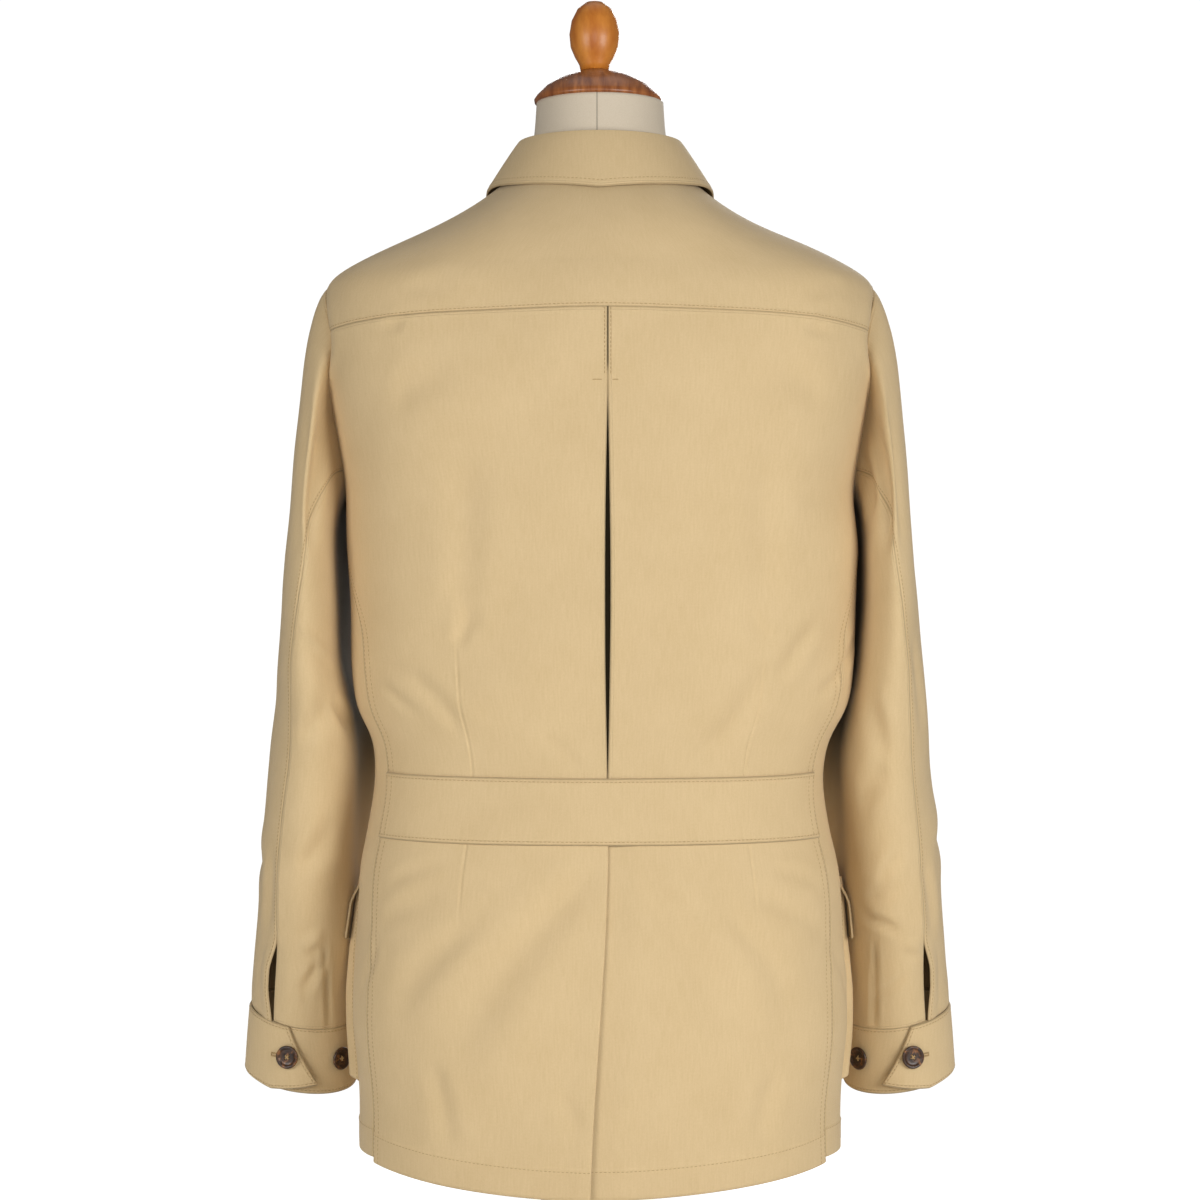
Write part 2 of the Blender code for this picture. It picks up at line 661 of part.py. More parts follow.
def sleeve(side, name):
    """The top sleeve lies outside and the under sleeve by the body, between the hind and the fore seam."""
    def strip(seams):
        def place(u, row):
            start, stop = seams(sleeve_row_height(row))
            start += seam_turn(start, row)
            stop -= seam_turn(stop, row)
            point = sleeve_point(mix(start, stop, u), row)
            return Vector((point.x * side, point.y, point.z))

        return place

    top = strip(lambda height: (fore_seam(height) - 360.0, hind_seam(height)))
    under = strip(lambda height: (hind_seam(height), fore_seam(height)))
    rows = (list(CAP_ROWS) + HANG_ROWS)[::-1]
    for piece, place, count in (("top_sleeve", top, 14), ("under_sleeve", under, 8)):
        columns = spaced(0, 1, count)
        cloth(f"{piece}_{name}", place, columns[::-1] if side > 0 else columns, rows)


def cuff_place(station, v):
    """A cuff winds a little more than once round: its end laps over its start at the back."""
    height = mix(CUFF["low"], CUFF["high"], v)
    point = sleeve_ring(station, height)
    middle = Vector((sleeve_x(height), sleeve_y(height), height))
    out = (point - middle).normalized()
    lap = ease(CUFF_LAP["from"], CUFF_LAP["full"], station) * CUFF_LAP["lift"]
    flare = ease(CUFF_FLARE["from"], CUFF_FLARE["full"], station) * CUFF_FLARE["lift"]
    return point + out * (lap + flare * (1.3 - v))


def cuff(side, name):
    def place(u, v):
        stop = mix(CUFF["end_low"], CUFF["end_high"], v)
        point = cuff_place(mix(CUFF["start"], stop, u), v)
        return Vector((point.x * side, point.y, point.z))

    columns = spaced(0, 1, 30)
    cloth(f"cuff_{name}", place, columns[::-1] if side > 0 else columns, (0.0, 0.5, 1.0))


# ---- collar --------------------------------------------------------------------------------------
def collar_fold(direction):
    """Top of the collar's stand, where the leaf folds over."""
    point = plan_point(FOLD_PLAN, direction)
    front = ease(60, 180, abs(direction))
    point.z = neckline(direction).z + mix(STAND_HEIGHT["back"], STAND_HEIGHT["front"], front)
    return point


def leaf_edge(direction):
    turn, side = abs(direction), math.copysign(1.0, direction)
    point = collar_fold(direction)
    point.x += side * leaf_x(turn)
    point.y += leaf_y(turn)
    point.z = height_over(point.x, point.y) + leaf_clear(turn)
    return point


def collar():
    def stand_place(direction, v):
        low = neckline(direction) + Vector((0, 0, STAND_FOOT))
        return low.lerp(collar_fold(direction), v)

    def leaf_place(direction, v):
        fold, edge = collar_fold(direction), leaf_edge(direction)
        reach = Vector((edge.x - fold.x, edge.y - fold.y, 0.0))
        fold += Vector((0, 0, LEAF_FOLD["rise"])) + reach.normalized() * LEAF_FOLD["out"]
        turn = fold + reach * LEAF_TURN["reach"] - Vector((0, 0, LEAF_TURN["drop"]))
        return fold * (1 - v) ** 2 + turn * 2 * v * (1 - v) + edge * v * v

    cloth("collar_stand", stand_place, spaced(-STAND_END, STAND_END, 28), spaced(0, 1, 2), COLLAR_WALL)
    end = LEAF_EDGE[-1][0]
    cloth("collar_leaf", leaf_place, spaced(-end, end, 30), (1.0, 0.66, 0.38, 0.15, 0.0), COLLAR_WALL)


# ---- pockets and buttons -------------------------------------------------------------------------
def pocket_lift(values, u, v):
    """How far a pocket's face stands off its panel: its gussets rise at the sides and the foot."""
    width = math.radians(values["front_angle"] - values["side_angle"]) * POCKET_RADIUS
    from_edge = min(u * width, (1 - u) * width, v * (values["high"] - values["low"]) * 1.4)
    mouth = mix(1.0, MOUTH_SHARE, max(0.0, v - 0.45) / 0.55)
    return SEAT + values["bulge"] * ease(0.0, POCKET_ROUND, from_edge) * mouth


def pocket(side, name, row):
    values = dict(zip(POCKET_COLUMNS, row))
    low, high = values["low"], values["high"]
    flap_high = high + FLAP_TOP
    flap_low = flap_high - values["flap"]
    overhang = math.degrees(FLAP_OVERHANG / POCKET_RADIUS)
    turns = values["side_angle"], values["front_angle"]

    def face_place(u, v):
        return body(side * mix(*turns, u), mix(low, high, v), pocket_lift(values, u, v))

    def flap_place(u, height):
        """The flap is sewn on above the mouth, steps up over it and lies on the pocket's face."""
        share = min(1.0, (height - low) / (high - low))
        on_pocket = pocket_lift(values, 0.5, share) + SEAT + FLAP_CLEAR
        lift = mix(on_pocket, SEAT, ease(high + 0.002, flap_high, height))
        drop = FLAP_POINT * (1 - abs(2 * u - 1)) * (flap_high - height) / values["flap"]
        return body(side * mix(turns[0] - overhang, turns[1] + overhang, u), height - drop, lift)

    forward = side > 0
    ups = [0.0, 0.035, 0.085] + spaced(0.16, 0.84, 5) + [0.915, 0.965, 1.0]
    rows = [0.0, 0.035, 0.08, 0.2, 0.45, 0.72, 1.0]
    flap_ups = spaced(0, 1, 8)
    flap_rows = spaced(flap_low, high + 0.002, 3) + [flap_high]
    cloth(f"{values['name']}_pocket_{name}", face_place, ups if forward else ups[::-1], rows)
    cloth(f"{values['name']}_flap_{name}", flap_place, flap_ups if forward else flap_ups[::-1], flap_rows)
    seat_height = flap_low + FLAP_BUTTON_RISE
    seat = flap_place(0.5, seat_height)
    aim = (flap_place(0.4, seat_height) - seat).cross(flap_place(0.5, seat_height + 0.01) - seat).normalized()
    aim *= math.copysign(1.0, aim.y)
    button(f"{values['name']}_flap_button_{name}", seat + aim * BUTTON_GAP, aim)


def button(node, seat, aim):
    """A turned button whose flat back rests at seat and faces away from aim."""
    profile = [(BUTTON["radius"] * out, BUTTON["height"] * up) for out, up in BUTTON_PROFILE]
    item = turned(node, profile, BUTTON["steps"], "horn")
    item.location = seat
    item.rotation_mode = "QUATERNION"
    item.rotation_quaternion = Vector((0, 0, 1)).rotation_difference(aim)


def front_buttons():
    for number, height in enumerate(FRONT_BUTTON_HEIGHTS, 1):
        aim = outward(180.0, height)
        button(f"front_button_{number}", body(180.0, height, LAP + BUTTON_GAP), aim)


def cuff_buttons(side, name):
    """One button fastens the lap, and one for a tighter wrist sits further round."""
    at = CUFF_BUTTON_SHARE
    for piece, station in CUFF_BUTTONS:
        point = cuff_place(station, at)
        ahead, behind = cuff_place(station + 4, at), cuff_place(station - 4, at)
        above, below = cuff_place(station, at + 0.1), cuff_place(station, at - 0.1)
        aim = (above - below).cross(ahead - behind).normalized()
        aim = aim if aim.y < 0 else -aim
        seat = point + aim * BUTTON_GAP
        button(f"cuff_{piece}_button_{name}", Vector((seat.x * side, seat.y, seat.z)),
               Vector((aim.x * side, aim.y, aim.z)))


# ---- dress form ----------------------------------------------------------------------------------
def form_ring(height):
    limit = min(1.0, form_limit(height) / half_width(height))
    ring = []
    for i in range(FORM_SEGMENTS):
        point = body(360.0 * i / FORM_SEGMENTS, height, -form_clearance(height) - FORM_SKIN)
        level = height if height < ARMHOLE["middle"] else point.z
        ring.append((point.x * limit, point.y, level))
    return ring


def oval_ring(height, wide, deep):
    turns = [2 * math.pi * i / FORM_SEGMENTS for i in range(FORM_SEGMENTS)]
    return [(wide * math.sin(turn), -deep * math.cos(turn), height) for turn in turns]


def dress_form():
    top = oval_ring(FORM_NECK_HEIGHT, NECK_FOOT["wide"], NECK_FOOT["deep"])
    loft("form_torso", [form_ring(row[0]) for row in FORM_ROWS] + [top], "linen")
    loft("form_neck", [oval_ring(*row) for row in NECK_RINGS], "linen")
    turned("neck_cap", CAP_PROFILE, 28, "stained_beech").location.x = CAP_X
    turned("neck_knob", KNOB_PROFILE, 18, "beech").location.x = KNOB_X
    turned("stand_post", POST_PROFILE, 18, "beech")
    turned("stand_base", BASE_PROFILE, 36, "stained_beech")


def jacket():
    cloth("yoke", yoke_place, spaced(-1, 1, 20), YOKE_ROWS)
    pleat_underlay()
    half_belt()
    skirt_left()
    skirt_right()
    collar()
    front_buttons()
    for side, name in ((-1, "left"), (1, "right")):
        back_panel(side, f"back_{name}")
        front_panel(side, f"front_{name}")
        sleeve(side, name)
        cuff(side, name)
        cuff_buttons(side, name)
        for row in POCKETS:
            pocket(side, name, row)


jacket()
dress_form()
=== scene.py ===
import math

import bmesh
import bpy
import numpy as np
from mathutils import Matrix, Vector


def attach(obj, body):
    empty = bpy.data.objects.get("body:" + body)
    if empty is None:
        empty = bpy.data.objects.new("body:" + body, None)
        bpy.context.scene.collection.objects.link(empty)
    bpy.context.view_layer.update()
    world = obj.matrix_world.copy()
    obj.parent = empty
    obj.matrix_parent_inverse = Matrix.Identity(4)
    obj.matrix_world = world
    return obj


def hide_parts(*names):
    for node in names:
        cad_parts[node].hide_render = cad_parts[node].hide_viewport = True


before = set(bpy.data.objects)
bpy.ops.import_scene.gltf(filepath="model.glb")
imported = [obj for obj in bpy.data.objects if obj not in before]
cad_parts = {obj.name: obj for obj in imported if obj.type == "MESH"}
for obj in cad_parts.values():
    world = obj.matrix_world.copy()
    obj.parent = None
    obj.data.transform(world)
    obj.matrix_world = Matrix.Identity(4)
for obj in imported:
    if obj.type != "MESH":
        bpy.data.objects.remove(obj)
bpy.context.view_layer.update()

# the cloth and how its pieces are put together, in metres
cloth = {"wall": 0.0012, "seam": 0.0003, "layer": 0.0019, "seat": 0.0023, "lap": 0.0025}

# body form by height: half width, depth behind and in front of the axis, and how square the section is
bodyRows = np.array([
    (0.090, 0.1955, 0.127, 0.133, 2.30),
    (0.150, 0.1960, 0.124, 0.131, 2.30),
    (0.230, 0.2010, 0.118, 0.127, 2.35),
    (0.300, 0.1985, 0.110, 0.123, 2.40),
    (0.340, 0.1955, 0.104, 0.120, 2.40),
    (0.385, 0.1865, 0.098, 0.117, 2.40),
    (0.415, 0.1835, 0.096, 0.116, 2.40),
    (0.447, 0.1860, 0.097, 0.117, 2.45),
    (0.481, 0.1985, 0.100, 0.119, 2.50),
    (0.526, 0.2025, 0.106, 0.122, 2.55),
    (0.600, 0.2045, 0.116, 0.128, 2.70),
    (0.650, 0.2065, 0.121, 0.131, 2.85),
    (0.690, 0.2120, 0.123, 0.130, 3.00),
    (0.750, 0.2210, 0.122, 0.123, 3.00),
    (0.800, 0.2255, 0.117, 0.107, 2.80),
    (0.821, 0.2240, 0.113, 0.098, 2.60),
    (0.829, 0.2170, 0.110, 0.095, 2.45),
    (0.844, 0.1875, 0.106, 0.089, 2.30),
    (0.860, 0.1510, 0.101, 0.082, 2.20),
    (0.877, 0.1190, 0.093, 0.073, 2.10),
    (0.894, 0.0925, 0.081, 0.064, 2.05),
    (0.905, 0.0790, 0.069, 0.057, 2.00),
    (0.916, 0.0660, 0.058, 0.050, 2.00),
])


def hermite(start, startPull, end, endPull, t):
    return (start * (2 * t**3 - 3 * t**2 + 1) + startPull * (t**3 - 2 * t**2 + t)
            + end * (3 * t**2 - 2 * t**3) + endPull * (t**3 - t**2))


def curveThrough(stations, values):
    # smooth, and never past the values it runs between
    spans = np.diff(stations)
    chords = np.diff(values) / spans
    slopes = np.concatenate([chords[:1], np.zeros(len(values) - 2), chords[-1:]])
    before, after = chords[:-1], chords[1:]
    turns = before * after <= 0
    slopes[1:-1] = np.where(turns, 0.0, 2 * before * after / np.where(turns, 1.0, before + after))

    def read(station):
        station = np.clip(station, stations[0], stations[-1])
        i = np.clip(np.searchsorted(stations, station) - 1, 0, len(spans) - 1)
        t = (station - stations[i]) / spans[i]
        return hermite(values[i], slopes[i] * spans[i], values[i + 1], slopes[i + 1] * spans[i], t)

    return read


def curvesOf(rows):
    return [curveThrough(rows[:, 0], column) for column in rows.T[1:]]


def softened(read, reach):
    # a short running average, so light doesn't catch on a row of the table
    steps = np.array([-1.0, -0.5, 0.0, 0.5, 1.0]) * reach
    weights = (0.12, 0.23, 0.30, 0.23, 0.12)

    def average(station):
        return sum(weight * read(station + step) for weight, step in zip(weights, steps))

    return average


def mix(start, end, t):
    return start + (end - start) * t


def ease(low, high, value):
    t = np.clip((value - low) / (high - low), 0.0, 1.0)
    return t * t * (3 - 2 * t)


def unit(vectors):
    return vectors / np.maximum(np.linalg.norm(vectors, axis=-1, keepdims=True), 1e-12)


def point(x, y, z):
    return np.stack(np.broadcast_arrays(x, y, z), axis=-1)


halfWidth, backDepth, frontDepth, squareness = [softened(read, 0.010) for read in curvesOf(bodyRows)]


def sectionPoint(angle, height):
    # angle in degrees: 0 centre back, 90 the wearer's right, 180 centre front
    across, along = np.sin(np.radians(angle)), np.cos(np.radians(angle))
    deep = np.where(along > 0, backDepth(height), frontDepth(height))
    power = squareness(height)
    reach = (np.abs(across) ** power + np.abs(along) ** power) ** (-1 / power)
    return point(halfWidth(height) * reach * across, -deep * reach * along, height)


def outward(angle, height):
    roundIt = sectionPoint(angle + 0.6, height) - sectionPoint(angle - 0.6, height)
    upIt = sectionPoint(angle, height + 0.0012) - sectionPoint(angle, height - 0.0012)
    return unit(np.cross(roundIt, upIt))


# soft folds of the body: where each starts and ends round the body and in height, how far it bows, its
# width at both ends and its depth; around is metres from the centre back, + to the wearer's right
backFolds = [
    (-0.102, 0.678, -0.111, 0.549, 0.003, 0.013, 0.011, 0.0022),
    (0.127, 0.678, 0.127, 0.561, -0.003, 0.013, 0.011, 0.0024),
    (0.068, 0.666, 0.076, 0.534, 0.004, 0.016, 0.018, 0.0017),
    (-0.186, 0.497, -0.155, 0.475, 0.000, 0.004, 0.005, 0.0013),
    (-0.158, 0.508, -0.116, 0.462, 0.003, 0.006, 0.008, 0.0017),
    (-0.200, 0.514, -0.161, 0.511, 0.002, 0.005, 0.008, 0.0013),
    (-0.102, 0.476, -0.048, 0.487, -0.003, 0.010, 0.014, 0.0013),
    (-0.050, 0.458, -0.016, 0.430, 0.002, 0.006, 0.005, 0.0011),
    (0.091, 0.442, 0.126, 0.508, -0.004, 0.012, 0.010, 0.0025),
    (0.141, 0.503, 0.172, 0.548, 0.002, 0.007, 0.007, 0.0021),
    (0.180, 0.489, 0.236, 0.536, -0.002, 0.005, 0.006, 0.0018),
    (0.131, 0.534, 0.112, 0.562, 0.002, 0.005, 0.008, 0.0017),
    (-0.115, 0.530, -0.101, 0.562, -0.002, 0.005, 0.008, 0.0021),
    (0.018, 0.524, 0.047, 0.556, 0.001, 0.009, 0.012, 0.0011),
    (-0.148, 0.721, -0.103, 0.742, 0.004, 0.010, 0.016, 0.0017),
    (0.160, 0.725, 0.120, 0.742, -0.004, 0.010, 0.016, 0.0017),
    (-0.040, 0.720, -0.070, 0.774, 0.004, 0.009, 0.012, 0.0009),
    (-0.152, 0.780, -0.138, 0.782, 0.000, 0.005, 0.006, 0.0018),
    (0.145, 0.775, 0.161, 0.780, 0.000, 0.005, 0.006, 0.0018),
    (0.146, 0.802, 0.179, 0.817, 0.001, 0.005, 0.008, 0.0013),
    (-0.138, 0.808, -0.106, 0.811, 0.001, 0.007, 0.010, 0.0010),
]
skirtFolds = [
    (-0.007, 0.352, -0.124, 0.201, -0.008, 0.010, 0.022, 0.0038),
    (-0.100, 0.311, -0.174, 0.243, -0.006, 0.008, 0.014, 0.0020),
    (-0.035, 0.182, -0.014, 0.146, 0.002, 0.007, 0.009, 0.0012),
    (-0.141, 0.203, -0.129, 0.136, 0.003, 0.008, 0.010, 0.0016),
    (-0.199, 0.294, -0.221, 0.252, 0.003, 0.005, 0.006, 0.0012),
    (-0.185, 0.341, -0.138, 0.355, 0.002, 0.005, 0.007, 0.0011),
    (-0.191, 0.310, -0.135, 0.332, 0.002, 0.006, 0.010, 0.0014),
    (0.033, 0.352, 0.110, 0.219, 0.008, 0.010, 0.020, 0.0035),
    (0.101, 0.321, 0.160, 0.245, 0.006, 0.008, 0.013, 0.0020),
    (0.046, 0.182, 0.018, 0.149, -0.002, 0.007, 0.009, 0.0012),
    (0.150, 0.195, 0.138, 0.141, -0.003, 0.008, 0.010, 0.0016),
    (0.146, 0.353, 0.199, 0.338, 0.002, 0.005, 0.006, 0.0011),
    (0.135, 0.331, 0.202, 0.298, 0.002, 0.006, 0.009, 0.0012),
    (0.207, 0.289, 0.247, 0.240, 0.003, 0.006, 0.007, 0.0011),
]
frontFolds = [
    (-0.300, 0.520, -0.352, 0.462, 0.003, 0.006, 0.009, 0.0026),
    (-0.285, 0.470, -0.335, 0.430, -0.002, 0.005, 0.007, 0.0018),
    (-0.395, 0.500, -0.430, 0.450, 0.003, 0.008, 0.012, 0.0020),
    (-0.470, 0.545, -0.455, 0.440, -0.003, 0.009, 0.011, 0.0018),
    (-0.345, 0.700, -0.385, 0.560, 0.006, 0.012, 0.016, 0.0023),
    (-0.440, 0.790, -0.400, 0.700, 0.005, 0.012, 0.016, 0.0021),
    (-0.290, 0.372, -0.330, 0.340, 0.002, 0.006, 0.009, 0.0018),
    (-0.480, 0.430, -0.440, 0.350, -0.004, 0.010, 0.016, 0.0025),
    (-0.270, 0.300, -0.262, 0.190, 0.003, 0.009, 0.014, 0.0023),
    (-0.500, 0.330, -0.485, 0.170, 0.005, 0.012, 0.018, 0.0027),
    (0.292, 0.514, 0.340, 0.468, -0.003, 0.006, 0.008, 0.0023),
    (0.310, 0.546, 0.372, 0.505, -0.003, 0.006, 0.010, 0.0018),
    (0.405, 0.492, 0.446, 0.458, -0.002, 0.007, 0.011, 0.0021),
    (0.352, 0.690, 0.402, 0.585, -0.006, 0.013, 0.015, 0.0021),
    (0.430, 0.782, 0.392, 0.712, -0.004, 0.010, 0.016, 0.0022),
    (0.286, 0.365, 0.322, 0.322, -0.002, 0.006, 0.010, 0.0018),
    (0.470, 0.420, 0.432, 0.352, 0.003, 0.010, 0.014, 0.0022),
    (0.276, 0.280, 0.266, 0.180, -0.003, 0.008, 0.014, 0.0023),
    (0.496, 0.310, 0.472, 0.160, -0.005, 0.012, 0.018, 0.0029),
]
# darts by where they start and end across the back and in height
dartRows = ((-0.1130, 0.534, -0.1012, 0.398), (0.1231, 0.524, 0.1146, 0.398),
            (-0.1020, 0.404, -0.1108, 0.312), (0.1140, 0.404, 0.1234, 0.314))
dartForm = {"width": 0.0011, "depth": 0.0005}
# between the waist and the armholes the jacket is a little fuller on the wearer's right
bodySway = {"most": 0.0060, "across": (0.03, 0.17), "low": (0.42, 0.50), "high": (0.60, 0.66)}
bodyWaves = {"amount": 0.0009, "length": 0.11, "seed": 5}


def wavesOf(amount, length, seed, count=9):
    # a slow unevenness, made of long waves in all directions
    chance = np.random.default_rng(seed)
    ways = unit(chance.normal(size=(count, 3)))
    lengths = length * chance.uniform(0.7, 1.6, count)
    phases = chance.uniform(0, 2 * math.pi, count)

    def read(points):
        turn = points @ (ways / lengths[:, None] * 2 * math.pi).T + phases
        return amount * np.sin(turn).sum(-1) / math.sqrt(count) * 1.2

    return read


bodyDrift = wavesOf(**bodyWaves)
aroundAngles = np.linspace(0, 180, 181)
aroundRing = sectionPoint(aroundAngles, np.full(181, 0.56))
aroundLengths = np.concatenate([[0], np.cumsum(np.linalg.norm(np.diff(aroundRing, axis=0), axis=1))])


def around(angle):
    return np.sign(angle) * np.interp(np.abs(angle), aroundAngles, aroundLengths)


def roundBody(points):
    # metres round the body from the centre back, without a jump inside a piece
    x, y, height = points[..., 0], points[..., 1], np.clip(points[..., 2], 0.1, 0.9)
    deep = np.where(y < 0, backDepth(height), frontDepth(height))
    at = around(np.copysign(np.degrees(np.arctan2(np.abs(x) / halfWidth(height), -y / deep)), x))
    half = aroundLengths[-1]
    return at - 2 * half * np.round((at - at.mean()) / (2 * half))


def foldLift(rows, across, up):
    # each fold is a soft trough with a lower ridge on either side, fading at its ends
    lift = np.zeros(np.broadcast(across, up).shape)
    for startAcross, startUp, endAcross, endUp, bow, startWidth, endWidth, depth in rows:
        along = np.array([endAcross - startAcross, endUp - startUp])
        length = np.linalg.norm(along)
        along /= length
        side = np.array([-along[1], along[0]])
        t = ((across - startAcross) * along[0] + (up - startUp) * along[1]) / length
        off = (across - startAcross) * side[0] + (up - startUp) * side[1]
        off = off - bow * 4 * t * (1 - t)
        width = mix(startWidth, endWidth, np.clip(t, 0, 1))
        share = off / width
        shape = np.exp(-share**2) - 0.42 * np.exp(-(share - 1.75) ** 2) - 0.36 * np.exp(-(share + 1.85) ** 2)
        fade = ease(-0.12, 0.25, t) * ease(1.12, 0.70, t)
        lift -= depth * shape * fade
    return lift


def body(angle, height, lift=0.0, folded=1.0):
    base = sectionPoint(angle, height)
    folds = foldLift(foldRows, around(angle), height) * folded
    total = lift + folds + bodyDrift(base) + armholeTurn(angle, height)
    aside = bodySway["most"] * ease(*bodySway["low"], height) * (1 - ease(*bodySway["high"], height))
    aside = aside * ease(*bodySway["across"], base[..., 0])
    base = base + np.broadcast_to(aside, base.shape[:-1])[..., None] * (1, 0, 0)
    return base + outward(angle, height) * np.broadcast_to(total, base.shape[:-1])[..., None]


def backAngle(x, height):
    power = squareness(height)
    share = x / halfWidth(height)
    return np.degrees(np.arctan2(share, np.maximum(1 - np.abs(share) ** power, 1e-9) ** (1 / power)))


def frontAngle(x, height):
    return 180.0 - backAngle(x, height)


def heightOver(x, y):
    # how high the shoulders pass over a point of the plan
    low, high = np.full(np.shape(x), 0.70), np.full(np.shape(x), 0.916)
    for _ in range(22):
        middle = (low + high) / 2
        power = squareness(middle)
        deep = np.where(y < 0, backDepth(middle), frontDepth(middle))
        inside = (np.abs(x) / halfWidth(middle)) ** power + (np.abs(y) / deep) ** power < 1
        low, high = np.where(inside, middle, low), np.where(inside, high, middle)
    return low


foldRows = backFolds + skirtFolds + frontFolds
for startX, startUp, endX, endUp in dartRows:
    start, end = around(backAngle(np.array([startX, endX]), np.array([startUp, endUp])))
    width, depth = dartForm["width"], dartForm["depth"]
    foldRows.append((start, startUp, end, endUp, 0.0, width, width, depth))

# seams that the panels share
seams = {
    "centreBack": 0.006, "side": 63.5, "underarm": 88.0, "sideTurn": (0.530, 0.650), "shoulder": 98.0,
    "yokeCentre": 0.793, "beltLow": 0.3750, "beltHigh": 0.4265, "beltSag": 0.002, "waist": 0.4005,
    "hemBack": 0.101, "hemSide": 0.121, "hemFront": 0.117,
}
neckPlan = {"halfWidth": 0.079, "back": 0.069, "front": 0.089}
armhole = {"middle": 0.7355, "halfHeight": 0.0855, "back": 27.0, "front": 28.0}
armholeLow = armhole["middle"] - armhole["halfHeight"]
armholeHigh = armhole["middle"] + armhole["halfHeight"]
yokeEdge = armhole["middle"] + armhole["halfHeight"] / 2
# beside the armhole the panels swell a little and then turn in to the seam, and draw the sleeve in too
turnIn = {
    "across": 0.055, "drop": 0.0040, "reach": 0.0080, "swell": 0.0014, "swellAt": 0.0130,
    "swellWidth": 0.0070, "foot": (-1.0, -0.72), "head": (0.55, 0.92), "frontShare": 0.8,
}
# behind, its lower half runs further forward, under the arm
backSwing = {"share": 0.42, "rise": (-0.30, 0.50), "step": 2.0, "settle": 0.022}


def turnShare(rise, behind):
    # rise is 1 at the top of the armhole and -1 at its foot
    share = ease(*turnIn["foot"], rise) * (1 - ease(*turnIn["head"], rise))
    return share * np.where(behind, 1.0, turnIn["frontShare"])


def swingBack(rise):
    return armhole["back"] * mix(backSwing["share"], 1.0, ease(*backSwing["rise"], rise))


def armholeTurn(angle, height):
    turn = np.abs(angle)
    up = (height - armhole["middle"]) / armhole["halfHeight"]
    swing = np.where(turn < 90, swingBack(up), armhole["front"])
    across = np.abs(90.0 - turn) / swing
    reach = np.maximum(np.hypot(across, up), 1e-6)
    slope = np.hypot(across / turnIn["across"], up / armhole["halfHeight"]) / reach
    away = (reach - 1) / slope
    inwards = turnIn["drop"] * (1 - ease(0.0, turnIn["reach"], away))
    swell = turnIn["swell"] * np.exp(-((away - turnIn["swellAt"]) / turnIn["swellWidth"]) ** 2)
    return (swell - inwards) * turnShare(up / reach, turn < 90)


def planPoint(plan, direction):
    across, along = np.sin(np.radians(direction)), np.cos(np.radians(direction))
    deep = np.where(along > 0, plan["back"], plan["front"])
    return point(plan["halfWidth"] * across, -deep * along, 0.0)


def neckline(direction):
    at = planPoint(neckPlan, direction)
    at[..., 2] = heightOver(at[..., 0], at[..., 1])
    return at


neckDirections = np.linspace(-180, 180, 241)
neckHeights = neckline(neckDirections)[:, 2]


def neckHeight(direction):
    return np.interp(direction, neckDirections, neckHeights)


neckEnd = float(neckHeight(seams["shoulder"]))


def sideSeam(height):
    return mix(seams["side"], seams["underarm"], ease(*seams["sideTurn"], height))


def armholeBulge(height):
    share = (height - armhole["middle"]) / armhole["halfHeight"]
    return np.sqrt(np.maximum(0.0, 1 - share * share))


def shoulderSeam(height):
    return mix(90.0, seams["shoulder"], ease(armholeHigh, 0.87, height))


def underarmStep(height):
    # the side seam meets the foot of the armhole a little behind its lowest point
    return backSwing["step"] * ease(armholeLow + backSwing["settle"], armholeLow, height)


def backEdge(height):
    rise = (height - armhole["middle"]) / armhole["halfHeight"]
    inHole = 90.0 - swingBack(rise) * armholeBulge(height) - underarmStep(height)
    edge = np.where(height < armholeHigh, inHole, shoulderSeam(height))
    return np.where(height <= armholeLow, sideSeam(height), edge)


def frontEdge(height):
    inHole = 90.0 + armhole["front"] * armholeBulge(height) - underarmStep(height)
    edge = np.where(height < armholeHigh, inHole, shoulderSeam(height))
    return np.where(height <= armholeLow, sideSeam(height), edge)


def straightEdge(height, low, lowAngle):
    # a panel's outer edge as it would run without the curve of the armhole, from one of its heights upwards
    beside = np.interp(height, (low, armholeHigh), (lowAngle, 90.0))
    return np.where(height >= armholeHigh, shoulderSeam(height), beside)


def hem(angle):
    turn = np.abs(angle)
    back = mix(seams["hemBack"], seams["hemSide"], ease(0, 90, turn))
    return np.where(turn < 90, back, mix(seams["hemSide"], seams["hemFront"], ease(90, 180, turn)))


def narrowed(angle, height):
    return angle - np.degrees(cloth["seam"] / 2 / halfWidth(height))


# finishes
def linear(code):
    # an sRGB hex value as linear red, green, blue and alpha
    parts = [int(code[i:i + 2], 16) / 255 for i in (0, 2, 4)]
    return [p / 12.92 if p <= 0.04045 else ((p + 0.055) / 1.055) ** 2.4 for p in parts] + [1.0]


def newMaterial(name, roughness):
    made = bpy.data.materials.new(name)
    made.use_nodes = True
    shader = made.node_tree.nodes["Principled BSDF"]
    shader.inputs["Roughness"].default_value = roughness
    return made, made.node_tree, shader


def addNode(tree, kind, settings=(), **links):
    # settings are properties by name or socket values by index, and links feed sockets, by name or by _index
    node = tree.nodes.new(kind)
    for key, value in dict(settings).items():
        if isinstance(key, int):
            node.inputs[key].default_value = value
        else:
            setattr(node, key, value)
    for key, source in links.items():
        socket = node.inputs[int(key[1:])] if key[0] == "_" else node.inputs[key]
        tree.links.new(source, socket)
    return node


def calc(tree, operation, *terms):
    # a Math node, whose terms are numbers or the outputs of other nodes
    node = addNode(tree, "ShaderNodeMath", {"operation": operation})
    for socket, term in zip(node.inputs, terms):
        if isinstance(term, float):
            socket.default_value = term
        else:
            tree.links.new(term, socket)
    return node.outputs[0]


def weighted(tree, *pairs):
    # the sum of several values, each times its weight
    total = calc(tree, "MULTIPLY", *pairs[0])
    for source, weight in pairs[1:]:
        total = calc(tree, "MULTIPLY_ADD", source, weight, total)
    return total


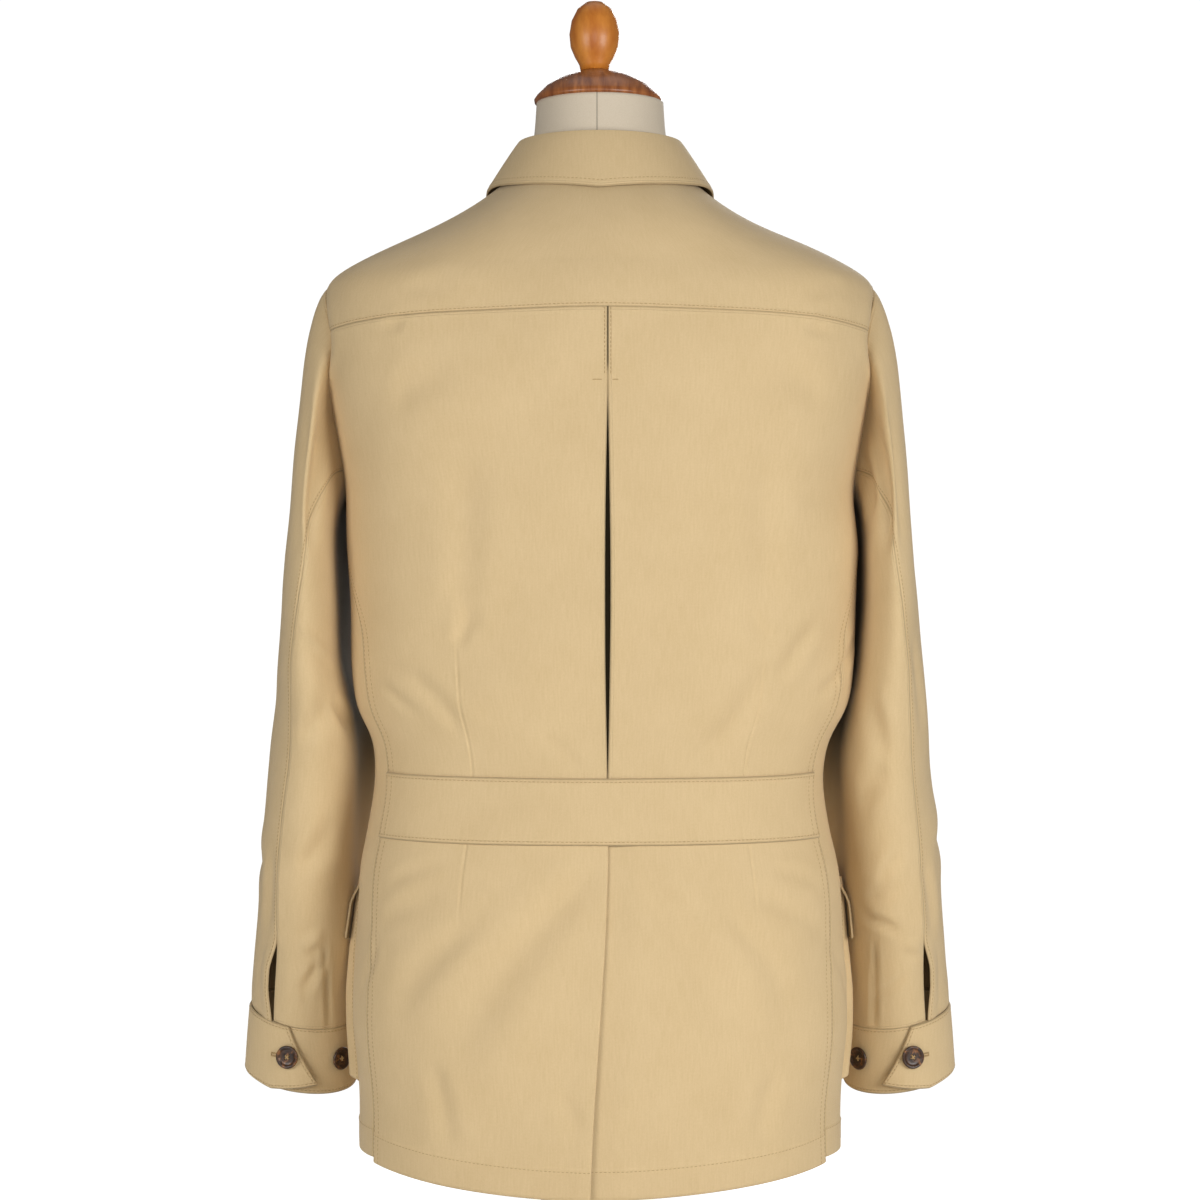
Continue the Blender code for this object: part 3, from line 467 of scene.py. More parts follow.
def ranged(tree, source, start, stop, low, high, way="LINEAR"):
    # low where the source is at start, high where it is at stop
    settings = {1: start, 2: stop, 3: low, 4: high, "interpolation_type": way}
    return addNode(tree, "ShaderNodeMapRange", settings, _0=source).outputs[0]


def noise(tree, at, scale, detail):
    return addNode(tree, "ShaderNodeTexNoise", {2: scale, 3: detail}, Vector=at).outputs[0]


# cotton drill, woven in a steep twill and lightly pressed: a matt yellow-tan with a faint sheen at the edges
# twill is the width of a diagonal, patch that of an uneven tone, and row is where the first stitches run
drill = {"light": "E6CCA0", "deep": "C8AC7C", "twill": 0.0010, "patch": 0.045, "pucker": 0.006, "row": 0.0022}


def cottonDrill():
    made, tree, shader = newMaterial("cottonDrillTan", 0.74)
    shader.inputs["Sheen Roughness"].default_value = 0.45
    flat = addNode(tree, "ShaderNodeUVMap", {"uv_map": "cloth"}).outputs["UV"]
    # the yarn is 0.3 mm in the real cloth; its diagonal is drawn 1 mm wide so that it still shows
    turned = addNode(tree, "ShaderNodeMapping", {3: (1 / drill["twill"],) * 3, 2: (0, 0, math.radians(28))},
                     Vector=flat)
    bands = {"wave_profile": "SIN", "bands_direction": "X", 1: 0.5, 2: 0.8}
    twill = addNode(tree, "ShaderNodeTexWave", bands, Vector=turned.outputs[0]).outputs["Fac"]
    slub = noise(tree, flat, 620.0, 2.0)
    drawn = addNode(tree, "ShaderNodeMapping", {3: (760, 60, 1)}, Vector=flat)
    warp = noise(tree, drawn.outputs[0], 1.0, 2.0)
    patch = noise(tree, flat, 1 / drill["patch"], 3.0)
    share = weighted(tree, (patch, 0.30), (warp, 0.34), (twill, 0.16), (slub, 0.30))
    tones = {"data_type": "RGBA", 6: linear(drill["light"]), 7: linear(drill["deep"])}
    tone = addNode(tree, "ShaderNodeMix", tones, _0=share)
    # the shade attribute is painted shade: it darkens the colour and weakens sheen and shine under the arm,
    # on the inside, along the shut pleat and over the pleat's underlay
    shade = addNode(tree, "ShaderNodeAttribute", {"attribute_name": "shade"}).outputs["Fac"]
    dim = calc(tree, "MULTIPLY_ADD", shade, -1.0, 1.0)
    for label, amount in (("Sheen Weight", 0.16), ("Specular IOR Level", 0.30)):
        tree.links.new(calc(tree, "MULTIPLY", dim, amount), shader.inputs[label])
    # along a sewn edge the colour is darkened, a painted shade for the crease where two edges meet and turn
    # in
    edge = addNode(tree, "ShaderNodeAttribute", {"attribute_name": "edge"}).outputs["Fac"]
    dim = calc(tree, "MULTIPLY", dim, ranged(tree, edge, 0.0002, 0.0009, 0.74, 1.0))
    shown = addNode(tree, "ShaderNodeVectorMath", {"operation": "SCALE"}, _0=tone.outputs[2], Scale=dim)
    tree.links.new(shown.outputs[0], shader.inputs["Base Color"])
    # along a sewn edge the cloth puckers, and the row of stitches pulls a narrow channel into it
    near = ranged(tree, edge, 0.0, drill["pucker"], 1.0, 0.0, "SMOOTHSTEP")
    puckers = calc(tree, "MULTIPLY", near, noise(tree, flat, 210.0, 1.0))
    aside = calc(tree, "ABSOLUTE", calc(tree, "SUBTRACT", edge, drill["row"]))
    channel = ranged(tree, aside, 0.0, 0.0009, 1.0, 0.0, "SMOOTHSTEP")
    relief = weighted(tree, (puckers, 1.0), (channel, -0.45), (slub, 0.10), (twill, 0.10), (warp, 0.10))
    bump = addNode(tree, "ShaderNodeBump", {0: 0.7, 1: 0.0011}, Height=relief)
    tree.links.new(bump.outputs[0], shader.inputs["Normal"])
    return made


drillCloth = cottonDrill()


# cloth faces that press close together under the arm take less light, and a painted shade darkens them there;
# inside is the painted shade on every inner face of the garment
underArm = {
    "angles": (76.0, 87.0, 96.0, 106.0), "heights": (0.400, 0.460, 0.725, 0.770), "most": 0.68,
    "inside": 0.45, "sleeve": (150.0, 175.0, 206.0, 230.0), "hang": (0.340, 0.470),
}
seamDip = {"depth": 0.0007, "reach": 0.0010}


def armShade(angle, height):
    first, full, still, last = underArm["angles"]
    turn = np.abs(angle)
    low, lowFull, highFull, high = underArm["heights"]
    return (underArm["most"] * ease(first, full, turn) * (1 - ease(still, last, turn))
            * ease(low, lowFull, height) * (1 - ease(highFull, high, height)))


def bodyShade(points):
    return armShade(np.degrees(np.arctan2(points[..., 0], -points[..., 1] * 1.7)), points[..., 2])


def shellMesh(name, outer, wall, edges, axisOf, shade, onBody):
    # outer is a grid of points; the wall goes inwards from it and its rim is rounded
    rows, columns = outer.shape[:2]
    along, up = np.gradient(outer, axis=1), np.gradient(outer, axis=0)
    normals = unit(np.cross(along, up))
    middle = axisOf(outer) if axisOf else outer * (0, 0, 1)
    if (normals * (outer - middle)).sum() < 0:
        outer, shade = outer[:, ::-1], shade[:, ::-1]
        edges = edges[1], edges[0], edges[2], edges[3]
        along, up = np.gradient(outer, axis=1), np.gradient(outer, axis=0)
        normals = unit(np.cross(along, up))
    stepX = np.linalg.norm(np.diff(outer, axis=1), axis=2)
    stepY = np.linalg.norm(np.diff(outer, axis=0), axis=2)
    flatX = np.concatenate([np.zeros((rows, 1)), np.cumsum(stepX, axis=1)], axis=1)
    flatY = np.concatenate([np.zeros((1, columns)), np.cumsum(stepY, axis=0)], axis=0)
    toEdges = [flatX, flatX[:, -1:] - flatX, flatY, flatY[-1:] - flatY]
    edge = np.min([d if sewn else np.full_like(d, 1.0) for d, sewn in zip(toEdges, edges)], axis=0)
    outer = outer - normals * (seamDip["depth"] * np.exp(-((edge / seamDip["reach"]) ** 2)))[..., None]
    inner = outer - normals * wall
    # the rim runs once round the grid, and bulges a little past it
    order = ([(0, j) for j in range(columns)] + [(i, columns - 1) for i in range(1, rows)]
             + [(rows - 1, j) for j in range(columns - 2, -1, -1)] + [(i, 0) for i in range(rows - 2, 0, -1)])
    ringRows, ringColumns = np.array(order).T
    away = np.zeros_like(outer)
    away[0] -= unit(up[0])
    away[-1] += unit(up[-1])
    away[:, 0] -= unit(along[:, 0])
    away[:, -1] += unit(along[:, -1])
    away = unit(away)[ringRows, ringColumns]
    rim = (outer + inner)[ringRows, ringColumns] / 2 + away * wall * 0.42
    count = rows * columns
    index = np.arange(count).reshape(rows, columns)
    quads = np.stack([index[:-1, :-1], index[:-1, 1:], index[1:, 1:], index[1:, :-1]], -1).reshape(-1, 4)
    ring = index[ringRows, ringColumns]
    after = np.roll(ring, -1)
    rimIndex = 2 * count + np.arange(len(ring))
    rimAfter = np.roll(rimIndex, -1)
    faces = np.concatenate([
        quads, quads[:, ::-1] + count,
        np.stack([after, ring, rimIndex, rimAfter], -1),
        np.stack([rimAfter, rimIndex, ring + count, after + count], -1),
    ])
    places = np.concatenate([outer.reshape(-1, 3), inner.reshape(-1, 3), rim])
    flatX = roundBody(outer) if onBody else flatX - flatX[:, columns // 2:columns // 2 + 1]
    flatY = np.broadcast_to(flatY.mean(axis=1, keepdims=True), flatX.shape)
    flat = np.stack([flatX, flatY], -1).reshape(-1, 2)
    flat = np.concatenate([flat, flat, flat.reshape(rows, columns, 2)[ringRows, ringColumns]])
    edge = np.concatenate([edge.ravel(), edge.ravel(), edge[ringRows, ringColumns]])
    # the inner faces get at least the painted shade set for the garment's inside
    within = np.maximum(shade, underArm["inside"]).ravel()
    shade = np.concatenate([shade.ravel(), within, shade[ringRows, ringColumns]])
    mesh = meshOf(name, places, faces, flat, {"edge": edge, "shade": shade})
    size = float(np.median(stepX.sum(axis=1))), float(np.median(stepY.sum(axis=0)))
    area = float((np.linalg.norm(np.cross(along, up), axis=2)[:-1, :-1]).sum())
    return mesh, size, area


def meshOf(name, places, faces, flat=None, values=None):
    mesh = bpy.data.meshes.new(name)
    mesh.vertices.add(len(places))
    mesh.vertices.foreach_set("co", np.asarray(places, np.float32).ravel())
    mesh.loops.add(faces.size)
    mesh.loops.foreach_set("vertex_index", faces.ravel().astype(np.int32))
    mesh.polygons.add(len(faces))
    mesh.polygons.foreach_set("loop_start", np.arange(0, faces.size, faces.shape[1], dtype=np.int32))
    mesh.update(calc_edges=True)
    mesh.validate()
    if flat is not None:
        layer = mesh.uv_layers.new(name="cloth")
        layer.data.foreach_set("uv", flat[faces.ravel()].astype(np.float32).ravel())
    for key, value in (values or {}).items():
        held = mesh.attributes.new(key, "FLOAT", "POINT")
        held.data.foreach_set("value", value.astype(np.float32))
    mesh.shade_smooth()
    return mesh


def showMesh(name, mesh, finish):
    piece = bpy.data.objects.new(name, mesh)
    bpy.context.scene.collection.objects.link(piece)
    if not mesh.materials:
        mesh.materials.append(finish)
    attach(piece, "root")
    return piece


madeSizes = {}
placed = {}


def clothPiece(name, place, across, up, edges=(1, 1, 1, 1), wall=cloth["wall"],
               axisOf=None, shadeOf=None):
    # edges says which of the left, right, low and high edges are sewn
    u, v = np.meshgrid(across, up)
    outer = place(u, v)
    if shadeOf:
        shade = shadeOf(u, v)
    else:
        shade = np.zeros(u.shape) if axisOf else bodyShade(outer)
    onBody = axisOf is None and not name.startswith("collar")
    mesh, size, area = shellMesh(name, outer, wall, edges, axisOf, shade, onBody)
    piece = showMesh(name, mesh, drillCloth)
    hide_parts(name)
    flat = round(size[0], 3), round(size[1], 3)
    madeSizes[name] = flat, round(area, 4)
    placed[name] = place, (across[0], across[-1]), (up[0], up[-1])


def crowded(count, share=0.75):
    # 0 to 1 in steps that get closer towards both ends
    t = np.linspace(0, 1, count)
    return t - share * np.sin(2 * math.pi * t) / (2 * math.pi)


def steps(*spans):
    # several evenly spaced stretches in a row: start, then (stop, count) for each
    line = [np.array([float(spans[0])])]
    start = spans[0]
    for stop, count in spans[1:]:
        line.append(np.linspace(start, stop, count + 1)[1:])
        start = stop
    return np.concatenate(line)


# back: yoke, two panels with a pleat between them, half-belt, vented skirt
def yokePlace(u, row):
    share = (row - yokeEdge) / (neckEnd - yokeEdge)
    plain = straightEdge(row, yokeEdge, backEdge(yokeEdge))
    angle = u * (plain + (narrowed(backEdge(row), row) - plain) * u ** 4)
    low = mix(seams["yokeCentre"], yokeEdge, u * u) + cloth["seam"] / 2
    return body(angle, mix(low, neckHeight(angle), share))


yokeRows = steps(yokeEdge, (yokeEdge + 0.004, 6), (armholeHigh, 14), (neckEnd, 34))
clothPiece("yoke", yokePlace, 2 * crowded(150) - 1, yokeRows)

# above closedHigh the pleat is sewn shut; shut is half the gap there, and open adds to it further down; tone
# is the painted shade over the underlay in the gap, and line the painted shade along the shut edges, fading
# in over lineFade
pleat = {"closedHigh": 0.738, "openLength": 0.33, "shut": 0.0002, "open": 0.0048, "underlay": 0.042,
         "clear": 0.0003, "depth": 0.006, "tone": 0.88, "line": 0.75, "lineFade": 0.012}


def backHeight(u, row):
    rise = (seams["yokeCentre"] - yokeEdge) * (1 - u * u)
    near = ease(armholeLow - 0.1, yokeEdge, row)
    return row + (rise - cloth["seam"] / 2) * near


def pleatHalf(height):
    down = np.clip((pleat["closedHigh"] - height) / pleat["openLength"], 0, 1)
    return pleat["shut"] + pleat["open"] / 2 * np.sin(math.pi * down)


def backPlace(side):
    def place(u, row):
        height = backHeight(u, row)
        inner = backAngle(seams["centreBack"] + side * pleatHalf(height), height)
        # only the columns nearest to the armhole follow its curve
        plain = np.interp(row, (0, armholeLow, yokeEdge), (0, seams["underarm"], backEdge(yokeEdge)))
        plain = np.where(row < armholeLow, sideSeam(row), plain)
        bend = (narrowed(backEdge(row), row) - plain) * u ** 4
        return body(mix(inner, side * plain, u) + side * bend, height)
    return place


def backShade(place):
    # above its opening the pleat is sewn shut, and a painted shade along its two edges draws them as one dark
    # line
    def shade(u, row):
        line = ease(pleat["closedHigh"] - pleat["lineFade"], pleat["closedHigh"], row)
        return np.maximum(bodyShade(place(u, row)), pleat["line"] * (u < 1e-6) * line)
    return shade


backRows = steps(seams["waist"], (seams["beltHigh"], 6), (armholeLow, 72), (yokeEdge - 0.006, 40),
                 (yokeEdge, 8))
backColumns = np.union1d(crowded(70), np.linspace(0.45, 0.57, 26))
for side, name in ((-1, "back_left"), (1, "back_right")):
    place = backPlace(side)
    clothPiece(name, place, backColumns, backRows, shadeOf=backShade(place))


def underlayPlace(u, height):
    top = seams["yokeCentre"] - 0.002
    share = (height - seams["waist"]) / (top - seams["waist"])
    sink = cloth["layer"] + pleat["clear"] + pleat["depth"] * (1 - u * u) * np.sin(math.pi * share)
    return body(backAngle(seams["centreBack"] + u * pleat["underlay"], height), height, -sink)


def underlayShade(u, height):
    # a painted shade over the underlay, darkest in its middle, for the gap between the pleat's edges
    return pleat["tone"] * (1 - u ** 4)


clothPiece("pleat_underlay", underlayPlace, np.linspace(-1, 1, 17),
           np.linspace(seams["waist"], seams["yokeCentre"] - 0.002, 60), shadeOf=underlayShade)

belt = {"end": 0.995, "wall": 0.0016, "folded": 0.3, "creaseAt": 0.60, "creaseWidth": 0.0016,
        "creaseDepth": 0.0004}


def beltPlace(u, height):
    end = np.copysign(sideSeam(height) * belt["end"], u)
    angle = mix(backAngle(seams["centreBack"], height), end, np.abs(u))
    away = height - mix(seams["beltLow"], seams["beltHigh"], belt["creaseAt"])
    crease = belt["creaseDepth"] * np.exp(-(away / belt["creaseWidth"]) ** 2)
    crease = crease * ease(-0.95, -0.80, u) * ease(0.0, -0.25, u)
    return body(angle, height - seams["beltSag"] * (1 - u * u), cloth["seat"] - crease, belt["folded"])


beltRows = mix(seams["beltLow"], seams["beltHigh"], crowded(26, 0.6))
clothPiece("half_belt", beltPlace, 2 * crowded(150) - 1, beltRows, wall=belt["wall"])

vent = {"drift": -0.014, "underlap": 0.038, "levelBy": 0.13, "stray": 0.0022}
hemFold = {"rise": 0.0005, "width": 0.0225, "edge": 0.001}


def ventX(height):
    fall = (seams["beltLow"] - height) / (seams["beltLow"] - seams["hemBack"])
    return seams["centreBack"] + vent["drift"] * ease(0.0, 1.1, fall)


def skirtHeight(angle, row):
    fall = np.maximum(0.0, (seams["beltLow"] - row) / (seams["beltLow"] - seams["hemSide"]))
    return row + (hem(angle) - seams["hemSide"]) * fall


def hemLift(row):
    # the hem is folded up twice, and stands a little proud of the cloth above it
    low, high = hemFold["width"] - hemFold["edge"], hemFold["width"] + hemFold["edge"]
    return hemFold["rise"] * (1 - ease(low, high, row - seams["hemSide"]))


def skirtLeft(u, row):
    height = skirtHeight(u * seams["side"], row)
    stray = vent["stray"] * (1 - ease(0.0, 0.10, u)) * ease(seams["beltLow"], seams["hemSide"], row)
    angle = mix(backAngle(ventX(height), height), -narrowed(sideSeam(row), row), u)
    return body(angle, height, hemLift(row) + stray)


def skirtRight(u, row):
    height = skirtHeight(np.maximum(u, 0.0) * seams["side"], row)
    edge = ventX(height)
    under = backAngle(edge + u * vent["underlap"], height)
    over = mix(backAngle(edge, height), narrowed(sideSeam(row), row), u)
    lift = -cloth["lap"] * (1 - ease(0.01, vent["levelBy"], u)) + hemLift(row)
    return body(np.where(u < 0, under, over), height, lift)


hemTop = seams["hemSide"] + hemFold["width"]
hemRows = (hemTop - 0.0025, 8), (hemTop + 0.0025, 8)
skirtRows = steps(seams["hemSide"], *hemRows, (seams["beltLow"], 78), (seams["waist"], 6))
skirtColumns = np.union1d(crowded(66), np.linspace(0.46, 0.58, 22))
clothPiece("skirt_left", skirtLeft, skirtColumns, skirtRows, edges=(0, 1, 0, 1))
lapColumns = np.concatenate([np.linspace(-1, -0.1, 10), skirtColumns])
clothPiece("skirt_right", skirtRight, lapColumns, skirtRows, edges=(0, 1, 0, 1))
print("back made")

# fronts: the wearer's left laps over the right
front = {"over": 0.020, "under": 0.018, "levelFrom": 0.048, "levelTo": 0.022}


def frontPlace(side):
    over = side < 0
    edgeX = -front["over"] if over else -front["under"]
    centreDirection = 180.0 - math.degrees(edgeX / neckPlan["halfWidth"])
    centreTop = float(neckline(np.array([centreDirection]))[0, 2])
    topCentre = float(frontAngle(np.array(edgeX), np.array(centreTop)))

    def angleOf(at):
        across = np.abs(at[..., 0]) / halfWidth(at[..., 2])
        along = np.abs(at[..., 1]) / frontDepth(at[..., 2])
        return 180.0 - np.copysign(np.degrees(np.arctan2(across, along)), at[..., 0])

    # how far the shoulder seam's own end lies from where the neckline would pull it
    astray = float(angleOf(neckline(np.array(seams["shoulder"])))) - seams["shoulder"]

    def place(u, row):
        plain = np.where(row <= armholeLow, sideSeam(row), straightEdge(row, armholeLow, seams["underarm"]))
        outer = frontEdge(row) + np.degrees(cloth["seam"] / 2 / halfWidth(row))
        outer = plain + (outer - plain) * (1 - u)
        lowShare = (row - seams["hemSide"]) / (armholeLow - seams["hemSide"])
        lowHeight = mix(mix(seams["hemSide"], seams["hemFront"], ease(0, 1, u)), armholeLow, lowShare)
        lowAngle = mix(outer, frontAngle(edgeX, lowHeight), u)
        share = (row - armholeLow) / (neckEnd - armholeLow)
        innerHeight = mix(armholeLow, centreTop, share)
        # towards its top the panel is drawn to the neckline
        top = neckline(mix(seams["shoulder"], centreDirection, u))
        pull = share * share
        aside = angleOf(top) - mix(seams["shoulder"], topCentre, u) - astray * (1 - u) ** 3
        highAngle = mix(outer, frontAngle(edgeX, innerHeight), u) + pull * aside
        highHeight = mix(row, innerHeight, u) + pull * (top[..., 2] - mix(neckEnd, centreTop, u))
        low = row <= armholeLow
        angle, height = np.where(low, lowAngle, highAngle), np.where(low, lowHeight, highHeight)
        lift = np.zeros(np.shape(angle))
        if over:
            x = sectionPoint(angle, height)[..., 0]
            lift = cloth["lap"] * (1 - ease(front["levelTo"], front["levelFrom"], x))
        return body(side * angle, height, lift + hemLift(row))

    return place


frontRows = steps(seams["hemSide"], *hemRows, (seams["waist"], 44), (armholeLow, 44), (armholeHigh, 36),
                  (neckEnd, 22))
for side, name in ((-1, "front_left"), (1, "front_right")):
    clothPiece(name, frontPlace(side), crowded(84, 0.7), frontRows, edges=(1, 1, 0, 1))
print("fronts made")

# sleeves: level rings that tilt at the mouth, in two pieces with a hind and a fore seam
# a row is the height, the ring's middle across and along, its half width and half depth, and the tuck
sleeveRows = np.array([
    (0.147, 0.2530, 0.075, 0.0470, 0.0465, 0.0000),
    (0.2045, 0.2508, 0.073, 0.0450, 0.0470, 0.0000),
    (0.263, 0.2475, 0.066, 0.0423, 0.0530, 0.0000),
    (0.357, 0.2425, 0.044, 0.0405, 0.0620, 0.0150),
    (0.444, 0.2345, 0.026, 0.0370, 0.0700, 0.0215),
    (0.479, 0.2350, 0.018, 0.0325, 0.0745, 0.0120),
    (0.516, 0.2370, 0.012, 0.0270, 0.0790, 0.0120),
    (0.565, 0.2355, 0.005, 0.0235, 0.0840, 0.0115),
    (0.600, 0.2335, 0.002, 0.0215, 0.0860, 0.0105),
])
# by height, the degrees round the sleeve at which its hind and fore seams run
sleeveSeamRows = np.array([
    (0.204, 62.0, 232.0),
    (0.357, 60.0, 232.0),
    (0.500, 66.0, 228.0),
    (0.600, 92.0, 224.0),
    (0.735, 140.0, 220.0),
])
sleeveForm = {
    "tiltOut": 0.15, "tiltFront": 0.19, "tiltFrom": 0.45, "tiltFull": 0.27, "hang": 0.600, "inset": 1.012,
    "underLift": -0.0010, "topLift": -0.0012, "headPull": (0.0640, 0.0280, -0.0480),
    "underPull": (0.0225, 0.0045, -0.0387), "arrive": 0.9, "tuckSpan": (-0.15, 0.75), "backFull": 0.075,
}
sleeveReads = [softened(read, 0.012) for read in curvesOf(sleeveRows)]
sleeveX, sleeveY, sleeveWide, sleeveDeep, sleeveTuck = sleeveReads
hindSeam, foreSeam = curvesOf(sleeveSeamRows)
# folds of a sleeve by metres round it (0 outermost, 0.086 behind) and by row, as in sleevePoint
sleeveFolds = {
    -1: [
        (0.083, 1.057, 0.137, 1.085, 0.000, 0.003, 0.004, -0.0018),
        (0.088, 1.309, 0.110, 1.298, 0.001, 0.005, 0.005, -0.0028),
        (0.106, 1.323, 0.089, 1.354, 0.001, 0.004, 0.006, 0.0032),
        (0.083, 1.353, 0.100, 1.345, 0.000, 0.004, 0.006, -0.0020),
        (0.125, 1.115, 0.145, 1.141, 0.001, 0.005, 0.008, 0.0029),
        (0.077, 1.147, 0.121, 1.115, 0.002, 0.008, 0.012, 0.0025),
        (0.085, 1.246, 0.119, 1.214, 0.003, 0.008, 0.012, 0.0029),
        (0.000, 1.035, 0.000, 1.118, 0.002, 0.007, 0.009, 0.0018),
        (0.048, 1.240, 0.042, 1.308, -0.002, 0.006, 0.008, 0.0023),
        (0.112, 1.305, 0.119, 1.382, 0.000, 0.002, 0.003, 0.0030),
        (0.092, 0.300, 0.101, 0.960, 0.003, 0.009, 0.012, 0.0045),
        (0.062, 0.420, 0.074, 1.020, -0.003, 0.011, 0.014, 0.0028),
        (-0.100, 1.190, -0.052, 1.236, 0.003, 0.007, 0.010, 0.0036),
        (-0.096, 1.268, -0.048, 1.244, -0.003, 0.006, 0.010, 0.0032),
        (-0.030, 1.225, 0.026, 1.262, 0.002, 0.008, 0.012, 0.0024),
        (-0.082, 0.380, -0.090, 0.980, 0.002, 0.010, 0.012, 0.0035),
        (-0.020, 1.330, -0.012, 1.382, 0.002, 0.006, 0.008, 0.0022),
    ],
    1: [
        (0.129, 1.283, 0.086, 1.296, 0.001, 0.004, 0.004, 0.0031),
        (0.123, 1.268, 0.083, 1.260, -0.002, 0.005, 0.007, 0.0019),
        (0.107, 1.255, 0.081, 1.236, 0.001, 0.005, 0.007, 0.0019),
        (0.115, 1.348, 0.078, 1.333, -0.002, 0.003, 0.004, 0.0015),
        (0.080, 1.308, 0.063, 1.315, 0.001, 0.004, 0.005, -0.0024),
        (0.121, 1.115, 0.094, 1.164, 0.002, 0.008, 0.012, 0.0025),
        (0.125, 1.198, 0.090, 1.172, 0.002, 0.008, 0.012, 0.0029),
        (0.052, 1.067, 0.041, 1.148, 0.002, 0.007, 0.009, 0.0018),
        (0.053, 1.248, 0.045, 1.308, 0.002, 0.006, 0.008, 0.0023),
        (0.113, 1.305, 0.115, 1.382, 0.000, 0.002, 0.003, 0.0030),
        (0.094, 0.260, 0.106, 0.980, 0.003, 0.008, 0.012, 0.0049),
        (0.064, 0.400, 0.072, 1.010, -0.003, 0.011, 0.014, 0.0026),
        (0.118, 0.200, 0.122, 0.620, 0.002, 0.007, 0.010, 0.0036),
        (-0.098, 1.200, -0.050, 1.230, 0.003, 0.006, 0.010, 0.0034),
        (-0.092, 1.262, -0.044, 1.250, -0.002, 0.007, 0.010, 0.0030),
        (-0.028, 1.212, 0.030, 1.246, 0.002, 0.009, 0.012, 0.0022),
        (-0.080, 0.360, -0.088, 0.960, 0.002, 0.010, 0.012, 0.0038),
        (-0.024, 1.320, -0.010, 1.380, 0.002, 0.006, 0.008, 0.0020),
    ],
}
sleeveDrift = wavesOf(0.0008, 0.09, 11)


def sleeveRing(station, height):
    across, share = np.cos(np.radians(station)), -np.sin(np.radians(station))
    tuck = sleeveTuck(height) * ease(*sleeveForm["tuckSpan"], share) * (1 - across) / 2
    out, ahead = sleeveWide(height) * across - tuck, sleeveDeep(height) * share
    tilt = ease(-sleeveForm["tiltFrom"], -sleeveForm["tiltFull"], -height)
    rise = tilt * (sleeveForm["tiltOut"] * out + sleeveForm["tiltFront"] * ahead)
    return point(sleeveX(height) + out, sleeveY(height) + ahead, height + rise)


def armholePoint(station):
    back, up = np.sin(np.radians(station)), np.cos(np.radians(station))
    swing = np.where(back > 0, swingBack(up), armhole["front"])
    angle = 90.0 - swing * sleeveForm["inset"] * back
    height = armhole["middle"] + armhole["halfHeight"] * sleeveForm["inset"] * up
    lift = mix(sleeveForm["underLift"], sleeveForm["topLift"], (1 + up) / 2)
    lift = lift - turnIn["drop"] * turnShare(up, back > 0)
    return sectionPoint(angle, height) + outward(angle, height) * lift[..., None]


def sleevePoint(station, row):
    # row 0 to 1 runs over the cap, and past 1 it is one plus the drop below the cap
    hanging = sleeveRing(station, sleeveForm["hang"] - np.maximum(row - 1, 0))
    turn = np.radians(station)
    high, back = ((1 + np.cos(turn)) / 2)[..., None], np.sin(turn)
    start, end = armholePoint(station), sleeveRing(station, np.full(np.shape(station), sleeveForm["hang"]))
    leave = mix(np.array(sleeveForm["underPull"]), np.array(sleeveForm["headPull"]), high)
    full = sleeveForm["backFull"] * np.maximum(back, 0) * (1 - high[..., 0])
    leave = point(leave[..., 0], leave[..., 1] * -back - full, leave[..., 2])
    below = sleeveRing(station, np.full(np.shape(station), sleeveForm["hang"] - 0.02))
    arrive = unit(below - end) * (start[..., 2:] - end[..., 2:]) * sleeveForm["arrive"]
    cap = hermite(start, leave, end, arrive, np.minimum(row, 1.0)[..., None])
    return np.where((row > 1)[..., None], hanging, cap)


def sleeveAxis(outer):
    side = np.sign(outer[..., 0].mean())
    return point(side * sleeveX(outer[..., 2]), sleeveY(outer[..., 2]), outer[..., 2])


def sleeveSurface(station, row, side, lift=0.0):
    at = sleevePoint(station, row)
    ahead, behind = sleevePoint(station + 2, row), sleevePoint(station - 2, row)
    lower, upper = sleevePoint(station, row + 0.01), sleevePoint(station, np.maximum(row - 0.01, 0))
    normal = unit(np.cross(upper - lower, ahead - behind))
    total = lift + sleeveDrift(at * (side, 1, 1)) * ease(0.0, 0.3, row)
    total = total + foldLift(sleeveFolds[side], np.radians(station) * 0.055, row) * ease(0.0, 0.1, row)
    at = at + normal * np.broadcast_to(total, at.shape[:-1])[..., None]
    return at * (side, 1, 1)


def sleeveRowHeight(row):
    onCap = mix(armhole["middle"], sleeveForm["hang"], np.minimum(row, 1))
    return np.where(row <= 1, onCap, sleeveForm["hang"] - (row - 1))


cuffForm = {"low": 0.1655, "high": 0.2195, "wall": 0.0016, "start": 36.0, "endHigh": 440.0, "endLow": 470.0}
sleeveEnd = 1 + sleeveForm["hang"] - cuffForm["high"]
# above the cuff the hind seam opens into a short slit whose upper edge rolls out
slit = {"top": 0.296, "widest": 0.262, "low": 0.216, "gap": 3.6, "bow": -4.5, "curl": 0.0036, "closing": 0.6}


def slitShare(height):
    closed = slit["closing"] * ease(slit["widest"] - 0.01, slit["low"], height)
    return ease(slit["top"], slit["widest"], height) * (1 - closed)


